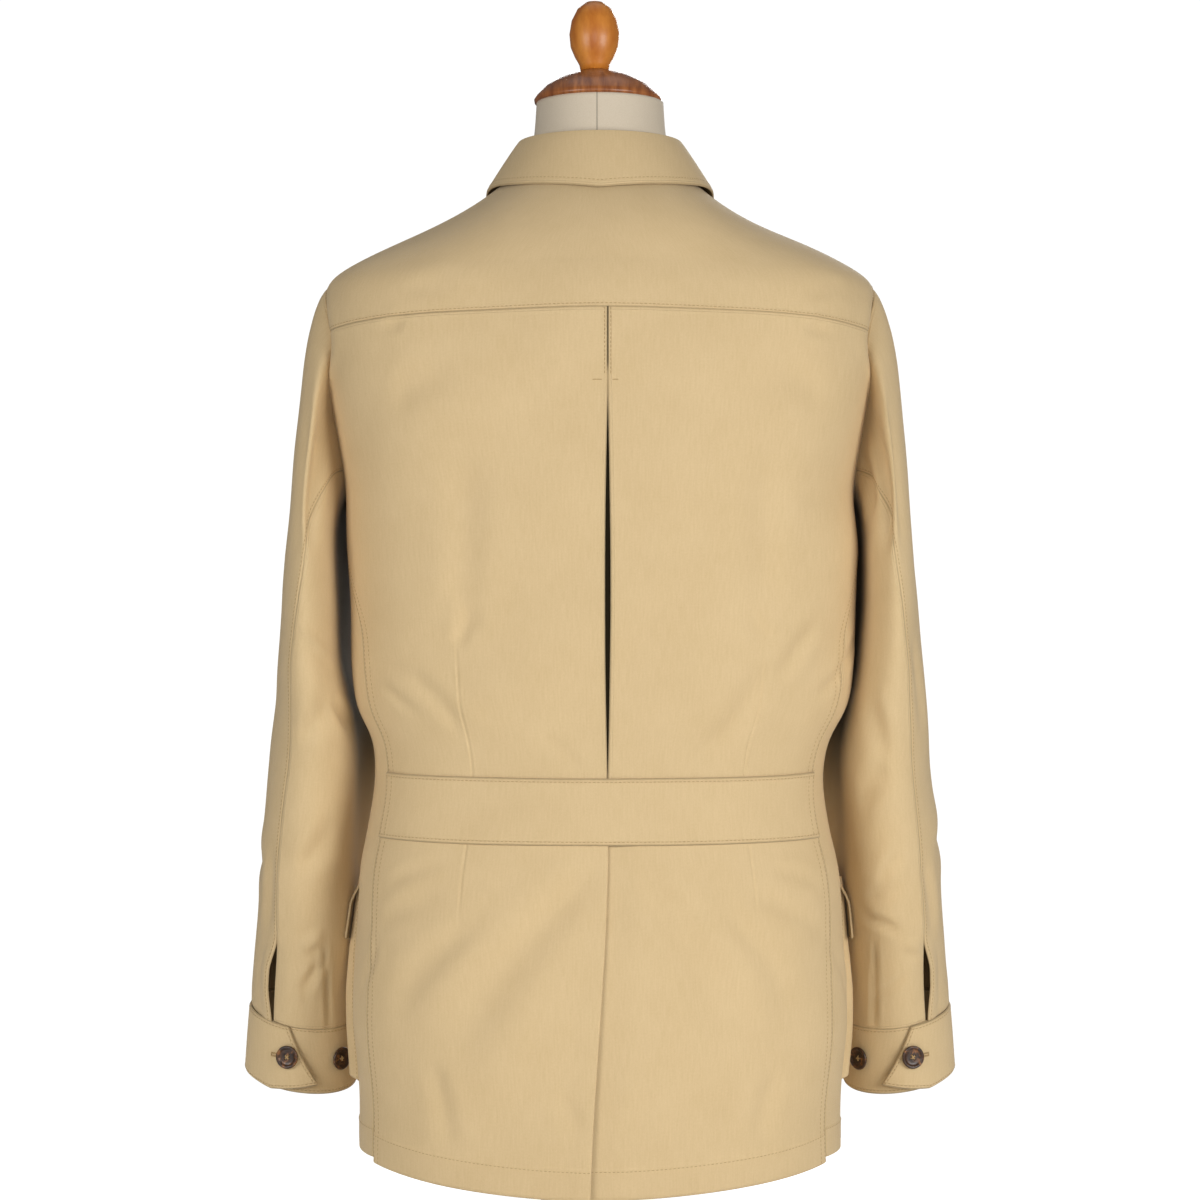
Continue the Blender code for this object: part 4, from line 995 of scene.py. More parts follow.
def sleeveStrip(part, side):
    def stationOf(u, row):
        height = sleeveRowHeight(row)
        opened = slitShare(height)
        middle = hindSeam(height) + slit["bow"] * opened
        if part == "top":
            return mix(foreSeam(height) - 360.0, middle - slit["gap"] / 2 * opened, u)
        return mix(middle + slit["gap"] / 2 * opened, foreSeam(height), u)

    def place(u, row):
        opened = slitShare(sleeveRowHeight(row))
        if part == "top":
            lift = slit["curl"] * opened * ease(0.90, 0.98, u)
        else:
            lift = -slit["curl"] * 0.6 * opened * (1 - ease(0.0, 0.12, u))
        return sleeveSurface(stationOf(u, row), row, side, lift)

    # painted shade on the sleeve's inner side, where it faces the body under the arm
    def shade(u, row):
        first, full, still, last = underArm["sleeve"]
        station = stationOf(u, row)
        station = np.where(station < -90, station + 360, station)
        near = ease(first, full, station) * (1 - ease(still, last, station)) * ease(0.0, 0.12, row)
        return underArm["most"] * near * ease(*underArm["hang"], sleeveRowHeight(row))

    return place, shade


sleeveSteps = steps(0, (0.05, 8), (0.3, 12), (1.0, 34), (sleeveEnd - 0.004, 100), (sleeveEnd, 5))
for side, name in ((-1, "left"), (1, "right")):
    for part, count in (("top", 82), ("under", 64)):
        place, shade = sleeveStrip(part, side)
        clothPiece(f"{part}_sleeve_{name}", place, crowded(count, 0.65), sleeveSteps,
                   axisOf=sleeveAxis, shadeOf=shade)
print("sleeves made")

# cuffs: each winds a little more than once round, and its end laps over its start
cuffLap = {"from": 325.0, "full": 385.0, "lift": cloth["layer"] * 1.15}
cuffFlare = {"from": 400.0, "full": 458.0, "lift": 0.005, "turn": (424.0, 470.0), "rise": 0.011}


def cuffPlace(station, v):
    height = mix(cuffForm["low"], cuffForm["high"], v)
    start, stop = cuffFlare["turn"]
    height = height + cuffFlare["rise"] * np.clip((station - start) / (stop - start), 0, 1) * (1 - v)
    at = sleeveRing(station, height)
    out = unit(at - point(sleeveX(height), sleeveY(height), height))
    lap = ease(cuffLap["from"], cuffLap["full"], station) * cuffLap["lift"]
    flare = ease(cuffFlare["from"], cuffFlare["full"], station) * cuffFlare["lift"]
    return at + out * (lap + flare * (1.3 - v))[..., None]


def cuffSide(side):
    def place(u, v):
        stop = mix(cuffForm["endLow"], cuffForm["endHigh"], v)
        return cuffPlace(mix(cuffForm["start"], stop, u), v) * (side, 1, 1)
    return place


for side, name in ((-1, "left"), (1, "right")):
    clothPiece(f"cuff_{name}", cuffSide(side), crowded(130, 0.5), crowded(26, 0.6), wall=cuffForm["wall"],
               axisOf=sleeveAxis)
print("cuffs made")

# collar: a stand round the neck and a leaf that folds over it
collarForm = {
    "wall": 0.0018, "standBack": 0.030, "standFront": 0.026, "standEnd": 178.6, "standFoot": 0.0014,
    "leafEnd": 166.0, "rise": 0.0034, "out": 0.0010, "turnReach": 0.30, "turnDrop": 0.010,
}
foldPlan = {"halfWidth": 0.0665, "back": 0.066, "front": 0.080}
# by degrees from the centre back, how far the leaf's edge lies out and forward of the fold, and its clearance
leafRows = np.array([
    (0.0, 0.000, -0.0200, 0.0045),
    (50.0, 0.017, -0.0150, 0.0050),
    (90.0, 0.027, 0.0000, 0.0058),
    (130.0, 0.034, 0.0200, 0.0045),
    (166.0, 0.026, 0.0270, 0.0065),
])
leafX, leafY, leafClear = curvesOf(leafRows)


def collarFold(direction):
    at = planPoint(foldPlan, direction)
    ahead = ease(60, 180, np.abs(direction))
    at[..., 2] = neckHeight(direction) + mix(collarForm["standBack"], collarForm["standFront"], ahead)
    return at


def leafEdge(direction):
    turn, side = np.abs(direction), np.sign(direction)
    at = collarFold(direction)
    x, y = at[..., 0] + side * leafX(turn), at[..., 1] + leafY(turn)
    return point(x, y, heightOver(x, y) + leafClear(turn))


def standPlace(direction, v):
    low = neckline(direction) + np.array([0, 0, collarForm["standFoot"]])
    return mix(low, collarFold(direction), v[..., None])


def leafPlace(direction, v):
    fold, edge = collarFold(direction), leafEdge(direction)
    reach = (edge - fold) * (1, 1, 0)
    fold = fold + np.array([0, 0, collarForm["rise"]]) + unit(reach) * collarForm["out"]
    turn = fold + reach * collarForm["turnReach"] - np.array([0, 0, collarForm["turnDrop"]])
    v = v[..., None]
    return fold * (1 - v) ** 2 + turn * 2 * v * (1 - v) + edge * v * v


standColumns = np.linspace(-collarForm["standEnd"], collarForm["standEnd"], 161)
clothPiece("collar_stand", standPlace, standColumns, np.linspace(0, 1, 14), wall=collarForm["wall"])
leafColumns = 2 * collarForm["leafEnd"] * crowded(190, 0.4) - collarForm["leafEnd"]
clothPiece("collar_leaf", leafPlace, leafColumns, 1 - crowded(30, 0.4), wall=collarForm["wall"],
           edges=(1, 1, 1, 0))
print("collar made")

# pockets with buttoned flaps
pocketRows = {
    "lower": {"low": 0.166, "high": 0.335, "side": 99.5, "front": 161.0, "bulge": 0.0100, "flap": 0.062,
              "drawn": (0.22, 0.312, 0.338)},
    "chest": {"low": 0.548, "high": 0.672, "side": 134.0, "front": 163.0, "bulge": 0.0035, "flap": 0.048,
              "drawn": None},
}
pocketForm = {
    "overhang": 0.003, "flapTop": 0.012, "flapPoint": 0.006, "flapWall": 0.0016, "button": 0.016,
    "radius": 0.16, "round": 0.008, "mouth": 0.35, "clear": 0.0008,
}


def pocketLift(values, u, v):
    width = math.radians(values["front"] - values["side"]) * pocketForm["radius"]
    fromEdge = np.minimum(np.minimum(u, 1 - u) * width, v * (values["high"] - values["low"]) * 1.4)
    mouth = mix(1.0, pocketForm["mouth"], np.maximum(0.0, v - 0.45) / 0.55)
    return cloth["seat"] + values["bulge"] * ease(0.0, pocketForm["round"], fromEdge) * mouth


def pocketPlaces(side, values):
    low, high = values["low"], values["high"]
    flapHigh = high + pocketForm["flapTop"]
    overhang = math.degrees(pocketForm["overhang"] / pocketForm["radius"])

    def face(u, v):
        angle = mix(values["side"], values["front"], u)
        return body(side * angle, mix(low, high, v), pocketLift(values, u, v))

    def flap(u, height):
        share = np.minimum(1.0, (height - low) / (high - low))
        onPocket = pocketLift(values, np.full_like(u, 0.5), share) + cloth["seat"] + pocketForm["clear"]
        lift = mix(onPocket, cloth["seat"], ease(high + 0.002, flapHigh, height))
        if values["drawn"]:
            # the flap's rear corner lies flat on the body
            reach, drawnLow, drawnHigh = values["drawn"]
            drawn = (1 - ease(0.0, reach, u)) * ease(drawnLow, drawnHigh, height)
            lift = mix(lift, cloth["seat"], drawn)
        drop = pocketForm["flapPoint"] * (1 - np.abs(2 * u - 1)) * (flapHigh - height) / values["flap"]
        angle = mix(values["side"] - overhang, values["front"] + overhang, u)
        return body(side * angle, height - drop, lift)

    return face, flap, flapHigh


for side, name in ((-1, "left"), (1, "right")):
    for kind, values in pocketRows.items():
        face, flap, flapHigh = pocketPlaces(side, values)
        clothPiece(f"{kind}_pocket_{name}", face, crowded(60), crowded(56),
                   edges=(1, 1, 1, 0))
        clothPiece(f"{kind}_flap_{name}", flap, crowded(56), flapHigh - values["flap"] * (1 - crowded(30)),
                   wall=pocketForm["flapWall"])
print("pockets made")

# buttons of dark horn, sewn through four holes
buttonForm = {
    "radius": 0.0095, "height": 0.0034, "holeRing": 0.0021, "hole": 0.0009, "thread": 0.00052, "gap": 0.0007,
    "front": (0.800, 0.690, 0.578, 0.466, 0.350), "cuff": {"lap": 442.0, "spare": 138.0}, "cuffHeight": 0.52,
    "turn": 20.0,
}


def latheMesh(name, profile, count):
    # profile runs from the axis at the top, down the outside, to the axis below
    radii, heights = np.array(profile).T
    ways = [(math.cos(turn), math.sin(turn)) for turn in np.linspace(0, 2 * math.pi, count, endpoint=False)]
    form = bmesh.new()
    rings = []
    for radius, height in zip(radii, heights):
        if radius < 1e-7:
            rings.append([form.verts.new((0, 0, height))])
        else:
            rings.append([form.verts.new((radius * x, radius * y, height)) for x, y in ways])
    for upper, lower in zip(rings, rings[1:]):
        for i in range(count):
            after = i + 1
            corners = [upper[i % len(upper)], lower[i % len(lower)],
                       lower[after % len(lower)], upper[after % len(upper)]]
            form.faces.new([c for k, c in enumerate(corners) if c not in corners[:k]])
    mesh = bpy.data.meshes.new(name)
    form.to_mesh(mesh)
    form.free()
    mesh.shade_smooth()
    return mesh


def colourRamp(tree, source, first, last, *between):
    # each stop is its place and its colour
    node = addNode(tree, "ShaderNodeValToRGB", Fac=source)
    stops = node.color_ramp.elements
    for stop, (place, code) in zip(stops, (first, last)):
        stop.position, stop.color = place, linear(code)
    for place, code in between:
        stops.new(place).color = linear(code)
    return node.outputs[0]


def polishedHorn():
    made, tree, shader = newMaterial("polishedHorn", 0.38)
    shader.inputs["Coat Weight"].default_value = 0.12
    shader.inputs["Coat Roughness"].default_value = 0.12
    at = addNode(tree, "ShaderNodeTexCoord").outputs["Object"]
    wisps = addNode(tree, "ShaderNodeTexNoise", {2: 190.0, 3: 4.0, 8: 1.2}, Vector=at).outputs[0]
    tones = colourRamp(tree, wisps, (0.36, "2A1A11"), (0.66, "8A5A30"), (0.56, "4A2F1D"))
    tree.links.new(tones, shader.inputs["Base Color"])
    return made


def twistedThread():
    made, _, shader = newMaterial("twistedThread", 0.6)
    # its tan, darker than the cloth, is partly the thread's own colour and partly a painted shade for the
    # shadows of its needle holes
    shader.inputs["Base Color"].default_value = linear("B0905E")
    shader.inputs["Sheen Weight"].default_value = 0.2
    return made


hornFinish, threadFinish = polishedHorn(), twistedThread()


def buttonMesh():
    radius, height = buttonForm["radius"], buttonForm["height"]
    profile = [(0, 0.58), (0.45, 0.58), (0.62, 0.60), (0.70, 0.70), (0.76, 0.88), (0.83, 0.98), (0.90, 1.0),
               (0.96, 0.93), (1.0, 0.78), (1.0, 0.60), (0.95, 0.34), (0.82, 0.12), (0.66, 0.0), (0, 0.0)]
    mesh = latheMesh("buttonBlank", [(radius * r, height * z) for r, z in profile], 40)
    blank = bpy.data.objects.new("buttonBlank", mesh)
    bpy.context.scene.collection.objects.link(blank)
    hole, ring, cutters = buttonForm["hole"], buttonForm["holeRing"], []
    for turn in range(4):
        rod = latheMesh("holeCutter", [(0, 0.006), (hole, 0.006), (hole, -0.002), (0, -0.002)], 12)
        cutter = bpy.data.objects.new("holeCutter", rod)
        at = math.radians(45 + 90 * turn)
        cutter.location = ring * math.cos(at), ring * math.sin(at), 0
        bpy.context.scene.collection.objects.link(cutter)
        cut = blank.modifiers.new("hole", "BOOLEAN")
        cut.operation, cut.object, cut.solver = "DIFFERENCE", cutter, "EXACT"
        cutters.append(cutter)
    bpy.context.view_layer.update()
    made = bpy.data.meshes.new_from_object(blank.evaluated_get(bpy.context.evaluated_depsgraph_get()))
    for item in [blank] + cutters:
        bpy.data.objects.remove(item)
    made.shade_smooth()
    made.set_sharp_from_angle(angle=math.radians(50))
    return made


def threadMesh():
    # two crossed stitches through the holes, and the shank down to the cloth
    form = bmesh.new()
    ring, height = buttonForm["holeRing"], buttonForm["height"]
    for turn in (45, 135):
        spin = Matrix.Rotation(math.radians(turn), 4, "Z")
        for beside in (-0.00028, 0.00028):
            for i in range(8):
                t = -1 + 2 * i / 7
                size = buttonForm["thread"] * (1.0 if abs(t) < 0.9 else 0.7)
                z = height * 0.58 + 0.0004 - 0.0009 * max(0, abs(t) - 0.8) / 0.2
                place = spin @ Matrix.Translation((ring * t, beside, z))
                place = place @ Matrix.Diagonal((1.5, 0.75, 0.9, 1))
                bmesh.ops.create_icosphere(form, subdivisions=1, radius=size, matrix=place)
    mesh = bpy.data.meshes.new("buttonThread")
    form.to_mesh(mesh)
    form.free()
    mesh.shade_smooth()
    return mesh


buttonMaster, threadMaster = buttonMesh(), threadMesh()


def sewButton(node, seat, aim):
    # seat is where its back meets the cloth, and aim the way its face looks
    leaning = Vector((0, 0, 1)).rotation_difference(Vector(aim)).to_matrix().to_4x4()
    turn = chance.uniform(-buttonForm["turn"], buttonForm["turn"])
    place = Matrix.Translation(Vector(seat)) @ leaning @ Matrix.Rotation(math.radians(turn), 4, "Z")
    disc, sewn = buttonMaster.copy(), threadMaster.copy()
    disc.transform(place)
    sewn.transform(place)
    disc.name, sewn.name = node, node + "_thread"
    piece = showMesh(node, disc, hornFinish)
    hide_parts(node)
    showMesh(node + "_thread", sewn, threadFinish)


chance = np.random.default_rng(3)
for number, height in enumerate(buttonForm["front"], 1):
    at = body(np.array([180.0]), np.array([height]), cloth["lap"] + buttonForm["gap"])[0]
    sewButton(f"front_button_{number}", at, outward(np.array([180.0]), np.array([height]))[0])
for side, name in ((-1, "left"), (1, "right")):
    for kind, values in pocketRows.items():
        face, flap, flapHigh = pocketPlaces(side, values)
        height = flapHigh - values["flap"] + pocketForm["button"]
        seat, beside, above = flap(np.array([0.5, 0.4, 0.5]), np.array([height, height, height + 0.01]))
        aim = np.cross(beside - seat, above - seat)
        aim = unit(aim) * np.sign(aim[1])
        sewButton(f"{kind}_flap_button_{name}", seat + aim * buttonForm["gap"], aim)
    for kind, station in buttonForm["cuff"].items():
        stations = station + np.array([0, 4, -4, 0, 0])
        shares = buttonForm["cuffHeight"] + np.array([0, 0, 0, 0.1, -0.1])
        here, ahead, behind, above, below = cuffPlace(stations, shares)
        aim = unit(np.cross(above - below, ahead - behind))
        aim = aim if aim[1] < 0 else -aim
        flipped = np.array([side, 1, 1])
        sewButton(f"cuff_{kind}_button_{name}", (here + aim * buttonForm["gap"]) * flipped, aim * flipped)
print("buttons sewn")

# sewing: rows of stitches, buttonholes and bar tacks; a size is how long, wide and high one stitch is
stitch = {"size": (0.0025, 0.00055, 0.00042), "pitch": 0.0034, "seat": 0.00006, "uneven": 0.07, "sides": 6}
buttonhole = {
    "pitch": 0.0007, "lip": 0.0011, "seat": 0.0001, "size": (0.0019, 0.0006, 0.0005), "end": 0.0014,
    "endSize": (0.0016, 0.0007, 0.0005), "front": (0.0135, 0.0075), "flap": (0.0085, 0.0125),
    "cuff": (424.0, 447.0),
}
# a bar tack on either side of the pleat, where it opens
barTack = {
    "row": 0.7235, "pitch": 0.0011, "size": (0.0022, 0.0007, 0.0005),
    "across": {"back_left": (0.016, 0.038), "back_right": (0.013, 0.027)},
}
# how far each kind of row lies in from the sewn edge
inset = {
    "edge": drill["row"], "second": 0.0080, "armhole": 0.0050, "placket": 0.0060, "collar": 0.0050,
    "hem": 0.0215,
}
sewing = {}


def surfaceFrame(name, u, v):
    place, uSpan, vSpan = placed[name]
    du, dv = (uSpan[1] - uSpan[0]) * 1e-3, (vSpan[1] - vSpan[0]) * 1e-3
    at = place(u, v)
    out = unit(np.cross(place(u + du, v) - place(u - du, v), place(u, v + dv) - place(u, v - dv)))
    middle = sleeveAxis(at) if "sleeve" in name or "cuff" in name else at * (0, 0, 1)
    return at, out * np.sign((out * (at - middle)).sum())


def addStitches(group, at, ahead, out, size):
    sewing.setdefault(group, []).append(np.broadcast_arrays(at, ahead, out, size))


def sewPath(group, name, u, v, pitch=stitch["pitch"], size=stitch["size"]):
    at = placed[name][0](u, v)
    run = np.concatenate([[0], np.cumsum(np.linalg.norm(np.diff(at, axis=0), axis=1))])
    count = max(2, round(run[-1] / pitch))
    marks = (np.arange(count) + 0.5) * run[-1] / count
    at, out = surfaceFrame(name, np.interp(marks, run, u), np.interp(marks, run, v))
    addStitches(group, at + out * stitch["seat"], unit(np.gradient(at, axis=0)), out, size)


def sewEdge(group, name, edge, kind, start=0.0, stop=1.0):
    place, uSpan, vSpan = placed[name]
    t = np.linspace(start, stop, 300)
    sideways = edge in ("left", "right")
    span, other = (uSpan, vSpan) if sideways else (vSpan, uSpan)
    base, inward = (span[0], span[1] - span[0]) if edge in ("left", "low") else (span[1], span[0] - span[1])
    along = mix(other[0], other[1], t)
    at = np.full_like(along, base)
    step = inward * 2e-3
    if sideways:
        moved = place(at + step, along) - place(at, along)
    else:
        moved = place(along, at + step) - place(along, at)
    at = at + step * inset[kind] / np.linalg.norm(moved, axis=1)
    sewPath(group, name, *((at, along) if sideways else (along, at)))


def sewHole(group, name, u, v):
    # short stitches side by side along both lips of the slit, and a few across its ends
    us, vs = np.linspace(*u, 60), np.linspace(*v, 60)
    at = placed[name][0](us, vs)
    count = round(np.linalg.norm(np.diff(at, axis=0), axis=1).sum() / buttonhole["pitch"])
    at, out = surfaceFrame(name, np.linspace(*u, count), np.linspace(*v, count))
    ahead = unit(np.gradient(at, axis=0))
    beside = np.cross(out, ahead)
    for lip in (-buttonhole["lip"], buttonhole["lip"]):
        lipAt = at + beside * lip + out * buttonhole["seat"]
        addStitches(group, lipAt, beside, out, buttonhole["size"])
    for end in (0, -1):
        across = np.linspace(-buttonhole["end"], buttonhole["end"], 5)[:, None]
        endAt = at[end] + beside[end] * across + out[end] * buttonhole["seat"]
        addStitches(group, endAt, ahead[end], out[end], buttonhole["endSize"])


# rows along edges, each over a span of its edge
underarmShare = (armholeLow - seams["waist"]) / (yokeEdge - seams["waist"])
frontRise = neckEnd - seams["hemSide"]
frontArmhole = (armholeLow - seams["hemSide"]) / frontRise, (armholeHigh - seams["hemSide"]) / frontRise
yokeTop = (armholeHigh - yokeEdge) / (neckEnd - yokeEdge)
bothEnds = "left", "right"
sewEdge("back", "yoke", "low", "edge")
for kind, span in (("armhole", (0.0, yokeTop)), ("edge", (yokeTop + 0.04, 1.0))):
    for end in bothEnds:
        sewEdge("back", "yoke", end, kind, *span)
for edge in ("low", "high"):
    sewEdge("back", "half_belt", edge, "edge")
for end in bothEnds:
    for kind in ("edge", "second"):
        sewEdge("back", "half_belt", end, kind, 0.04, 0.96)
for name in bothEnds:
    for kind in ("edge", "second"):
        sewEdge("back", f"back_{name}", "right", kind, 0.07, underarmShare)
        sewEdge("skirt", f"skirt_{name}", "right", kind, 0.0, 0.90)
        for pocket in pocketRows:
            sewEdge("front", f"{pocket}_flap_{name}", "high", kind, 0.01, 0.99)
    sewEdge("back", f"back_{name}", "left", "edge", 0.865, 1.0)
    sewEdge("back", f"back_{name}", "right", "armhole", underarmShare, 1.0)
    sewEdge("skirt", f"skirt_{name}", "low", "hem")
    sewEdge("front", f"front_{name}", "low", "hem")
    sewEdge("front", f"front_{name}", "left", "armhole", *frontArmhole)
    sewEdge("front", f"front_{name}", "right", "placket")
    for edge in ("right", "left"):
        sewEdge("sleeves", f"top_sleeve_{name}", edge, "edge", 0.03, 1.0)
    for edge in ("low", "high", "left", "right"):
        sewEdge("cuffs", f"cuff_{name}", edge, "edge")
    for pocket in pocketRows:
        for edge in ("left", "right", "low"):
            sewEdge("front", f"{pocket}_pocket_{name}", edge, "edge")
            sewEdge("flaps", f"{pocket}_flap_{name}", edge, "edge")
for edge in ("left", "right", "low"):
    sewEdge("collar", "collar_leaf", edge, "collar")


def lapPlace(angle, height):
    return body(angle, height, cloth["lap"])


# a buttonhole runs its own two lengths to either side of its button
placed["frontLap"] = lapPlace, (170.0, 190.0), (0.0, 1.0)
perMetre = math.degrees(1 / halfWidth(0.55)) * 0.9
for height in buttonForm["front"]:
    before, after = buttonhole["front"]
    sewHole("holes", "frontLap", (180.0 - before * perMetre, 180.0 + after * perMetre), (height, height))
for name in bothEnds:
    for kind, values in pocketRows.items():
        height = values["high"] + pocketForm["flapTop"] - values["flap"] + pocketForm["button"]
        below, above = buttonhole["flap"]
        sewHole("holes", f"{kind}_flap_{name}", (0.5, 0.5), (height - below, height + above))
    stop = mix(cuffForm["endLow"], cuffForm["endHigh"], buttonForm["cuffHeight"])
    ends = (np.array(buttonhole["cuff"]) - cuffForm["start"]) / (stop - cuffForm["start"])
    sewHole("holes", f"cuff_{name}", tuple(ends), (buttonForm["cuffHeight"],) * 2)
for name, across in barTack["across"].items():
    row = np.full(2, barTack["row"])
    sewPath("holes", name, np.array(across), row, barTack["pitch"], barTack["size"])
print("seams sewn")


marked = "ahead", "out", "size"


def stitchTree():
    # a stitch is a small ball on each point, stretched and turned by what the points hold
    tree = bpy.data.node_groups.new("stitchRows", "GeometryNodeTree")
    kinds = {
        "Geometry": "Geometry", "Sides": "Int", "Unevenness": "Float", "Seed": "Int", "Thread": "Material",
    }
    sockets = {}
    for label, kind in kinds.items():
        socket = tree.interface.new_socket(label, in_out="INPUT", socket_type="NodeSocket" + kind)
        sockets[label] = socket.identifier
    tree.interface.new_socket("Geometry", in_out="OUTPUT", socket_type="NodeSocketGeometry")
    given, ready = tree.nodes.new("NodeGroupInput").outputs, tree.nodes.new("NodeGroupOutput")
    ball = addNode(tree, "GeometryNodeMeshUVSphere", {1: 4, 2: 0.5}, _0=given["Sides"])
    reads = [addNode(tree, "GeometryNodeInputNamedAttribute", {"data_type": "FLOAT_VECTOR", 0: label})
             for label in marked]
    ahead, out, size = [read.outputs[0] for read in reads]
    axes = {"primary_axis": "Z", "secondary_axis": "X"}
    turn = addNode(tree, "FunctionNodeAxesToRotation", axes, _0=out, _1=ahead)
    span = {"data_type": "FLOAT_VECTOR", 0: (-1, -1, -1), 1: (1, 1, 1)}
    spread = addNode(tree, "FunctionNodeRandomValue", span, Seed=given["Seed"])
    amount = addNode(tree, "ShaderNodeVectorMath", {"operation": "SCALE"}, _0=spread.outputs[0],
                     Scale=given["Unevenness"])
    grown = addNode(tree, "ShaderNodeVectorMath", {"operation": "MULTIPLY_ADD"}, _0=amount.outputs[0],
                    _1=size, _2=size)
    laid = addNode(tree, "GeometryNodeInstanceOnPoints", Points=given["Geometry"], Instance=ball.outputs[0],
                   Rotation=turn.outputs[0], Scale=grown.outputs[0])
    real = addNode(tree, "GeometryNodeRealizeInstances", Geometry=laid.outputs[0])
    smooth = addNode(tree, "GeometryNodeSetShadeSmooth", Geometry=real.outputs[0])
    dyed = addNode(tree, "GeometryNodeSetMaterial", Geometry=smooth.outputs[0], Material=given["Thread"])
    tree.links.new(dyed.outputs[0], ready.inputs[0])
    return tree, sockets


stitchNodes, stitchSockets = stitchTree()
for seed, (group, rows) in enumerate(sewing.items(), 1):
    places, *held = [np.concatenate(column) for column in zip(*rows)]
    marks = bpy.data.meshes.new("marks")
    marks.vertices.add(len(places))
    marks.vertices.foreach_set("co", places.astype(np.float32).ravel())
    for label, values in zip(marked, held):
        layer = marks.attributes.new(label, "FLOAT_VECTOR", "POINT")
        layer.data.foreach_set("vector", values.astype(np.float32).ravel())
    holder = bpy.data.objects.new("marks", marks)
    bpy.context.scene.collection.objects.link(holder)
    sewn = holder.modifiers.new("sewn", "NODES")
    sewn.node_group = stitchNodes
    chosen = {"Sides": stitch["sides"], "Unevenness": stitch["uneven"], "Seed": seed, "Thread": threadFinish}
    for label, value in chosen.items():
        sewn[stitchSockets[label]] = value
    bpy.context.view_layer.update()
    made = bpy.data.meshes.new_from_object(holder.evaluated_get(bpy.context.evaluated_depsgraph_get()))
    bpy.data.objects.remove(holder)
    for label in marked:
        if label in made.attributes:
            made.attributes.remove(made.attributes[label])
    made.name = "stitches_" + group
    showMesh("stitches_" + group, made, threadFinish)
    print("stitches", group, len(places))

# dress form: padded torso, covered neck, wooden cap and knob, post and base
# by height, how far the torso lies inside the jacket's surface and how wide half of it may be
formRows = np.array([
    (0.165, 0.0300, 0.168),
    (0.190, 0.0220, 0.176),
    (0.260, 0.0180, 0.180),
    (0.340, 0.0120, 0.178),
    (0.420, 0.0100, 0.170),
    (0.500, 0.0140, 0.174),
    (0.600, 0.0140, 0.180),
    (0.700, 0.0120, 0.187),
    (0.770, 0.0070, 0.192),
    (0.812, 0.0032, 0.194),
    (0.829, 0.0024, 0.193),
    (0.844, 0.0022, 0.186),
    (0.860, 0.0022, 0.300),
    (0.877, 0.0022, 0.300),
    (0.892, 0.0024, 0.300),
    (0.902, 0.0045, 0.300),
    (0.910, 0.0075, 0.300),
])
formClear, formLimit = curvesOf(formRows)
formShape = {"low": 0.165, "high": 0.910, "inset": 0.0013, "top": (0.056, 0.050, 0.9155), "seamX": -0.0024}


def cottonCover():
    # stretched cotton cover over padding: cream, plain woven, quite matt
    made, tree, shader = newMaterial("cottonCoverCream", 0.85)
    shader.inputs["Sheen Weight"].default_value = 0.15
    at = addNode(tree, "ShaderNodeTexCoord").outputs["Object"]
    grain = noise(tree, at, 1300.0, 2.0)
    tones = {"data_type": "RGBA", 6: linear("DCCFBB"), 7: linear("CDBDA3")}
    tone = addNode(tree, "ShaderNodeMix", tones, _0=grain).outputs[2]
    # the cover is seamed down the middle of the back and front
    across = addNode(tree, "ShaderNodeSeparateXYZ", _0=at).outputs[0]
    away = calc(tree, "ABSOLUTE", calc(tree, "ADD", across, -formShape["seamX"]))
    seam = ranged(tree, away, 0.0002, 0.0009, 0.55, 1.0)
    shown = addNode(tree, "ShaderNodeVectorMath", {"operation": "SCALE"}, _0=tone, Scale=seam)
    tree.links.new(shown.outputs[0], shader.inputs["Base Color"])
    bump = addNode(tree, "ShaderNodeBump", {0: 0.3, 1: 0.0004}, Height=grain)
    tree.links.new(bump.outputs[0], shader.inputs["Normal"])
    return made


coverFinish = cottonCover()


def ringsMesh(name, rings):
    # rings from the lowest to the highest, closed at both ends
    rows, count = rings.shape[:2]
    index = np.arange(rows * count).reshape(rows, count)
    after = np.roll(index, -1, axis=1)
    form = bmesh.new()
    corners = [form.verts.new(p) for p in rings.reshape(-1, 3)]
    for face in np.stack([index[:-1], after[:-1], after[1:], index[1:]], -1).reshape(-1, 4):
        form.faces.new([corners[i] for i in face])
    form.faces.new([corners[i] for i in index[0][::-1]])
    form.faces.new([corners[i] for i in index[-1]])
    mesh = bpy.data.meshes.new(name)
    form.to_mesh(mesh)
    form.free()
    mesh.shade_smooth()
    return mesh


def formRing(height, turns):
    limit = np.minimum(1.0, formLimit(height) / halfWidth(height))
    base = sectionPoint(turns, np.full(len(turns), height))
    at = base + outward(turns, np.full(len(turns), height)) * (-formClear(height) - formShape["inset"])
    level = np.where(height < armhole["middle"], height, at[:, 2])
    return point(at[:, 0] * limit, at[:, 1], level)


def ovalRing(halfAcross, halfAlong, height, turns):
    return point(halfAcross * np.sin(np.radians(turns)), -halfAlong * np.cos(np.radians(turns)), height)


turns = np.arange(0, 360, 3.75)
torsoRings = [formRing(height, turns) for height in np.linspace(formShape["low"], formShape["high"], 70)]
torsoRings.append(ovalRing(*formShape["top"], turns))
# the neck by height, half width and half depth
neckFormRows = np.array([
    (0.9158, 0.0600, 0.0540),
    (0.9300, 0.0565, 0.0530),
    (0.9500, 0.0535, 0.0520),
    (0.9717, 0.0520, 0.0515),
])
neckWide, neckDeep = curvesOf(neckFormRows)
neckRings = [ovalRing(neckWide(height), neckDeep(height), height, turns)
             for height in np.linspace(neckFormRows[0, 0], neckFormRows[-1, 0], 24)]
for node, rings in (("form_torso", torsoRings), ("form_neck", neckRings)):
    piece = showMesh(node + "_cover", ringsMesh(node + "_cover", np.array(rings)), coverFinish)
    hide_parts(node)


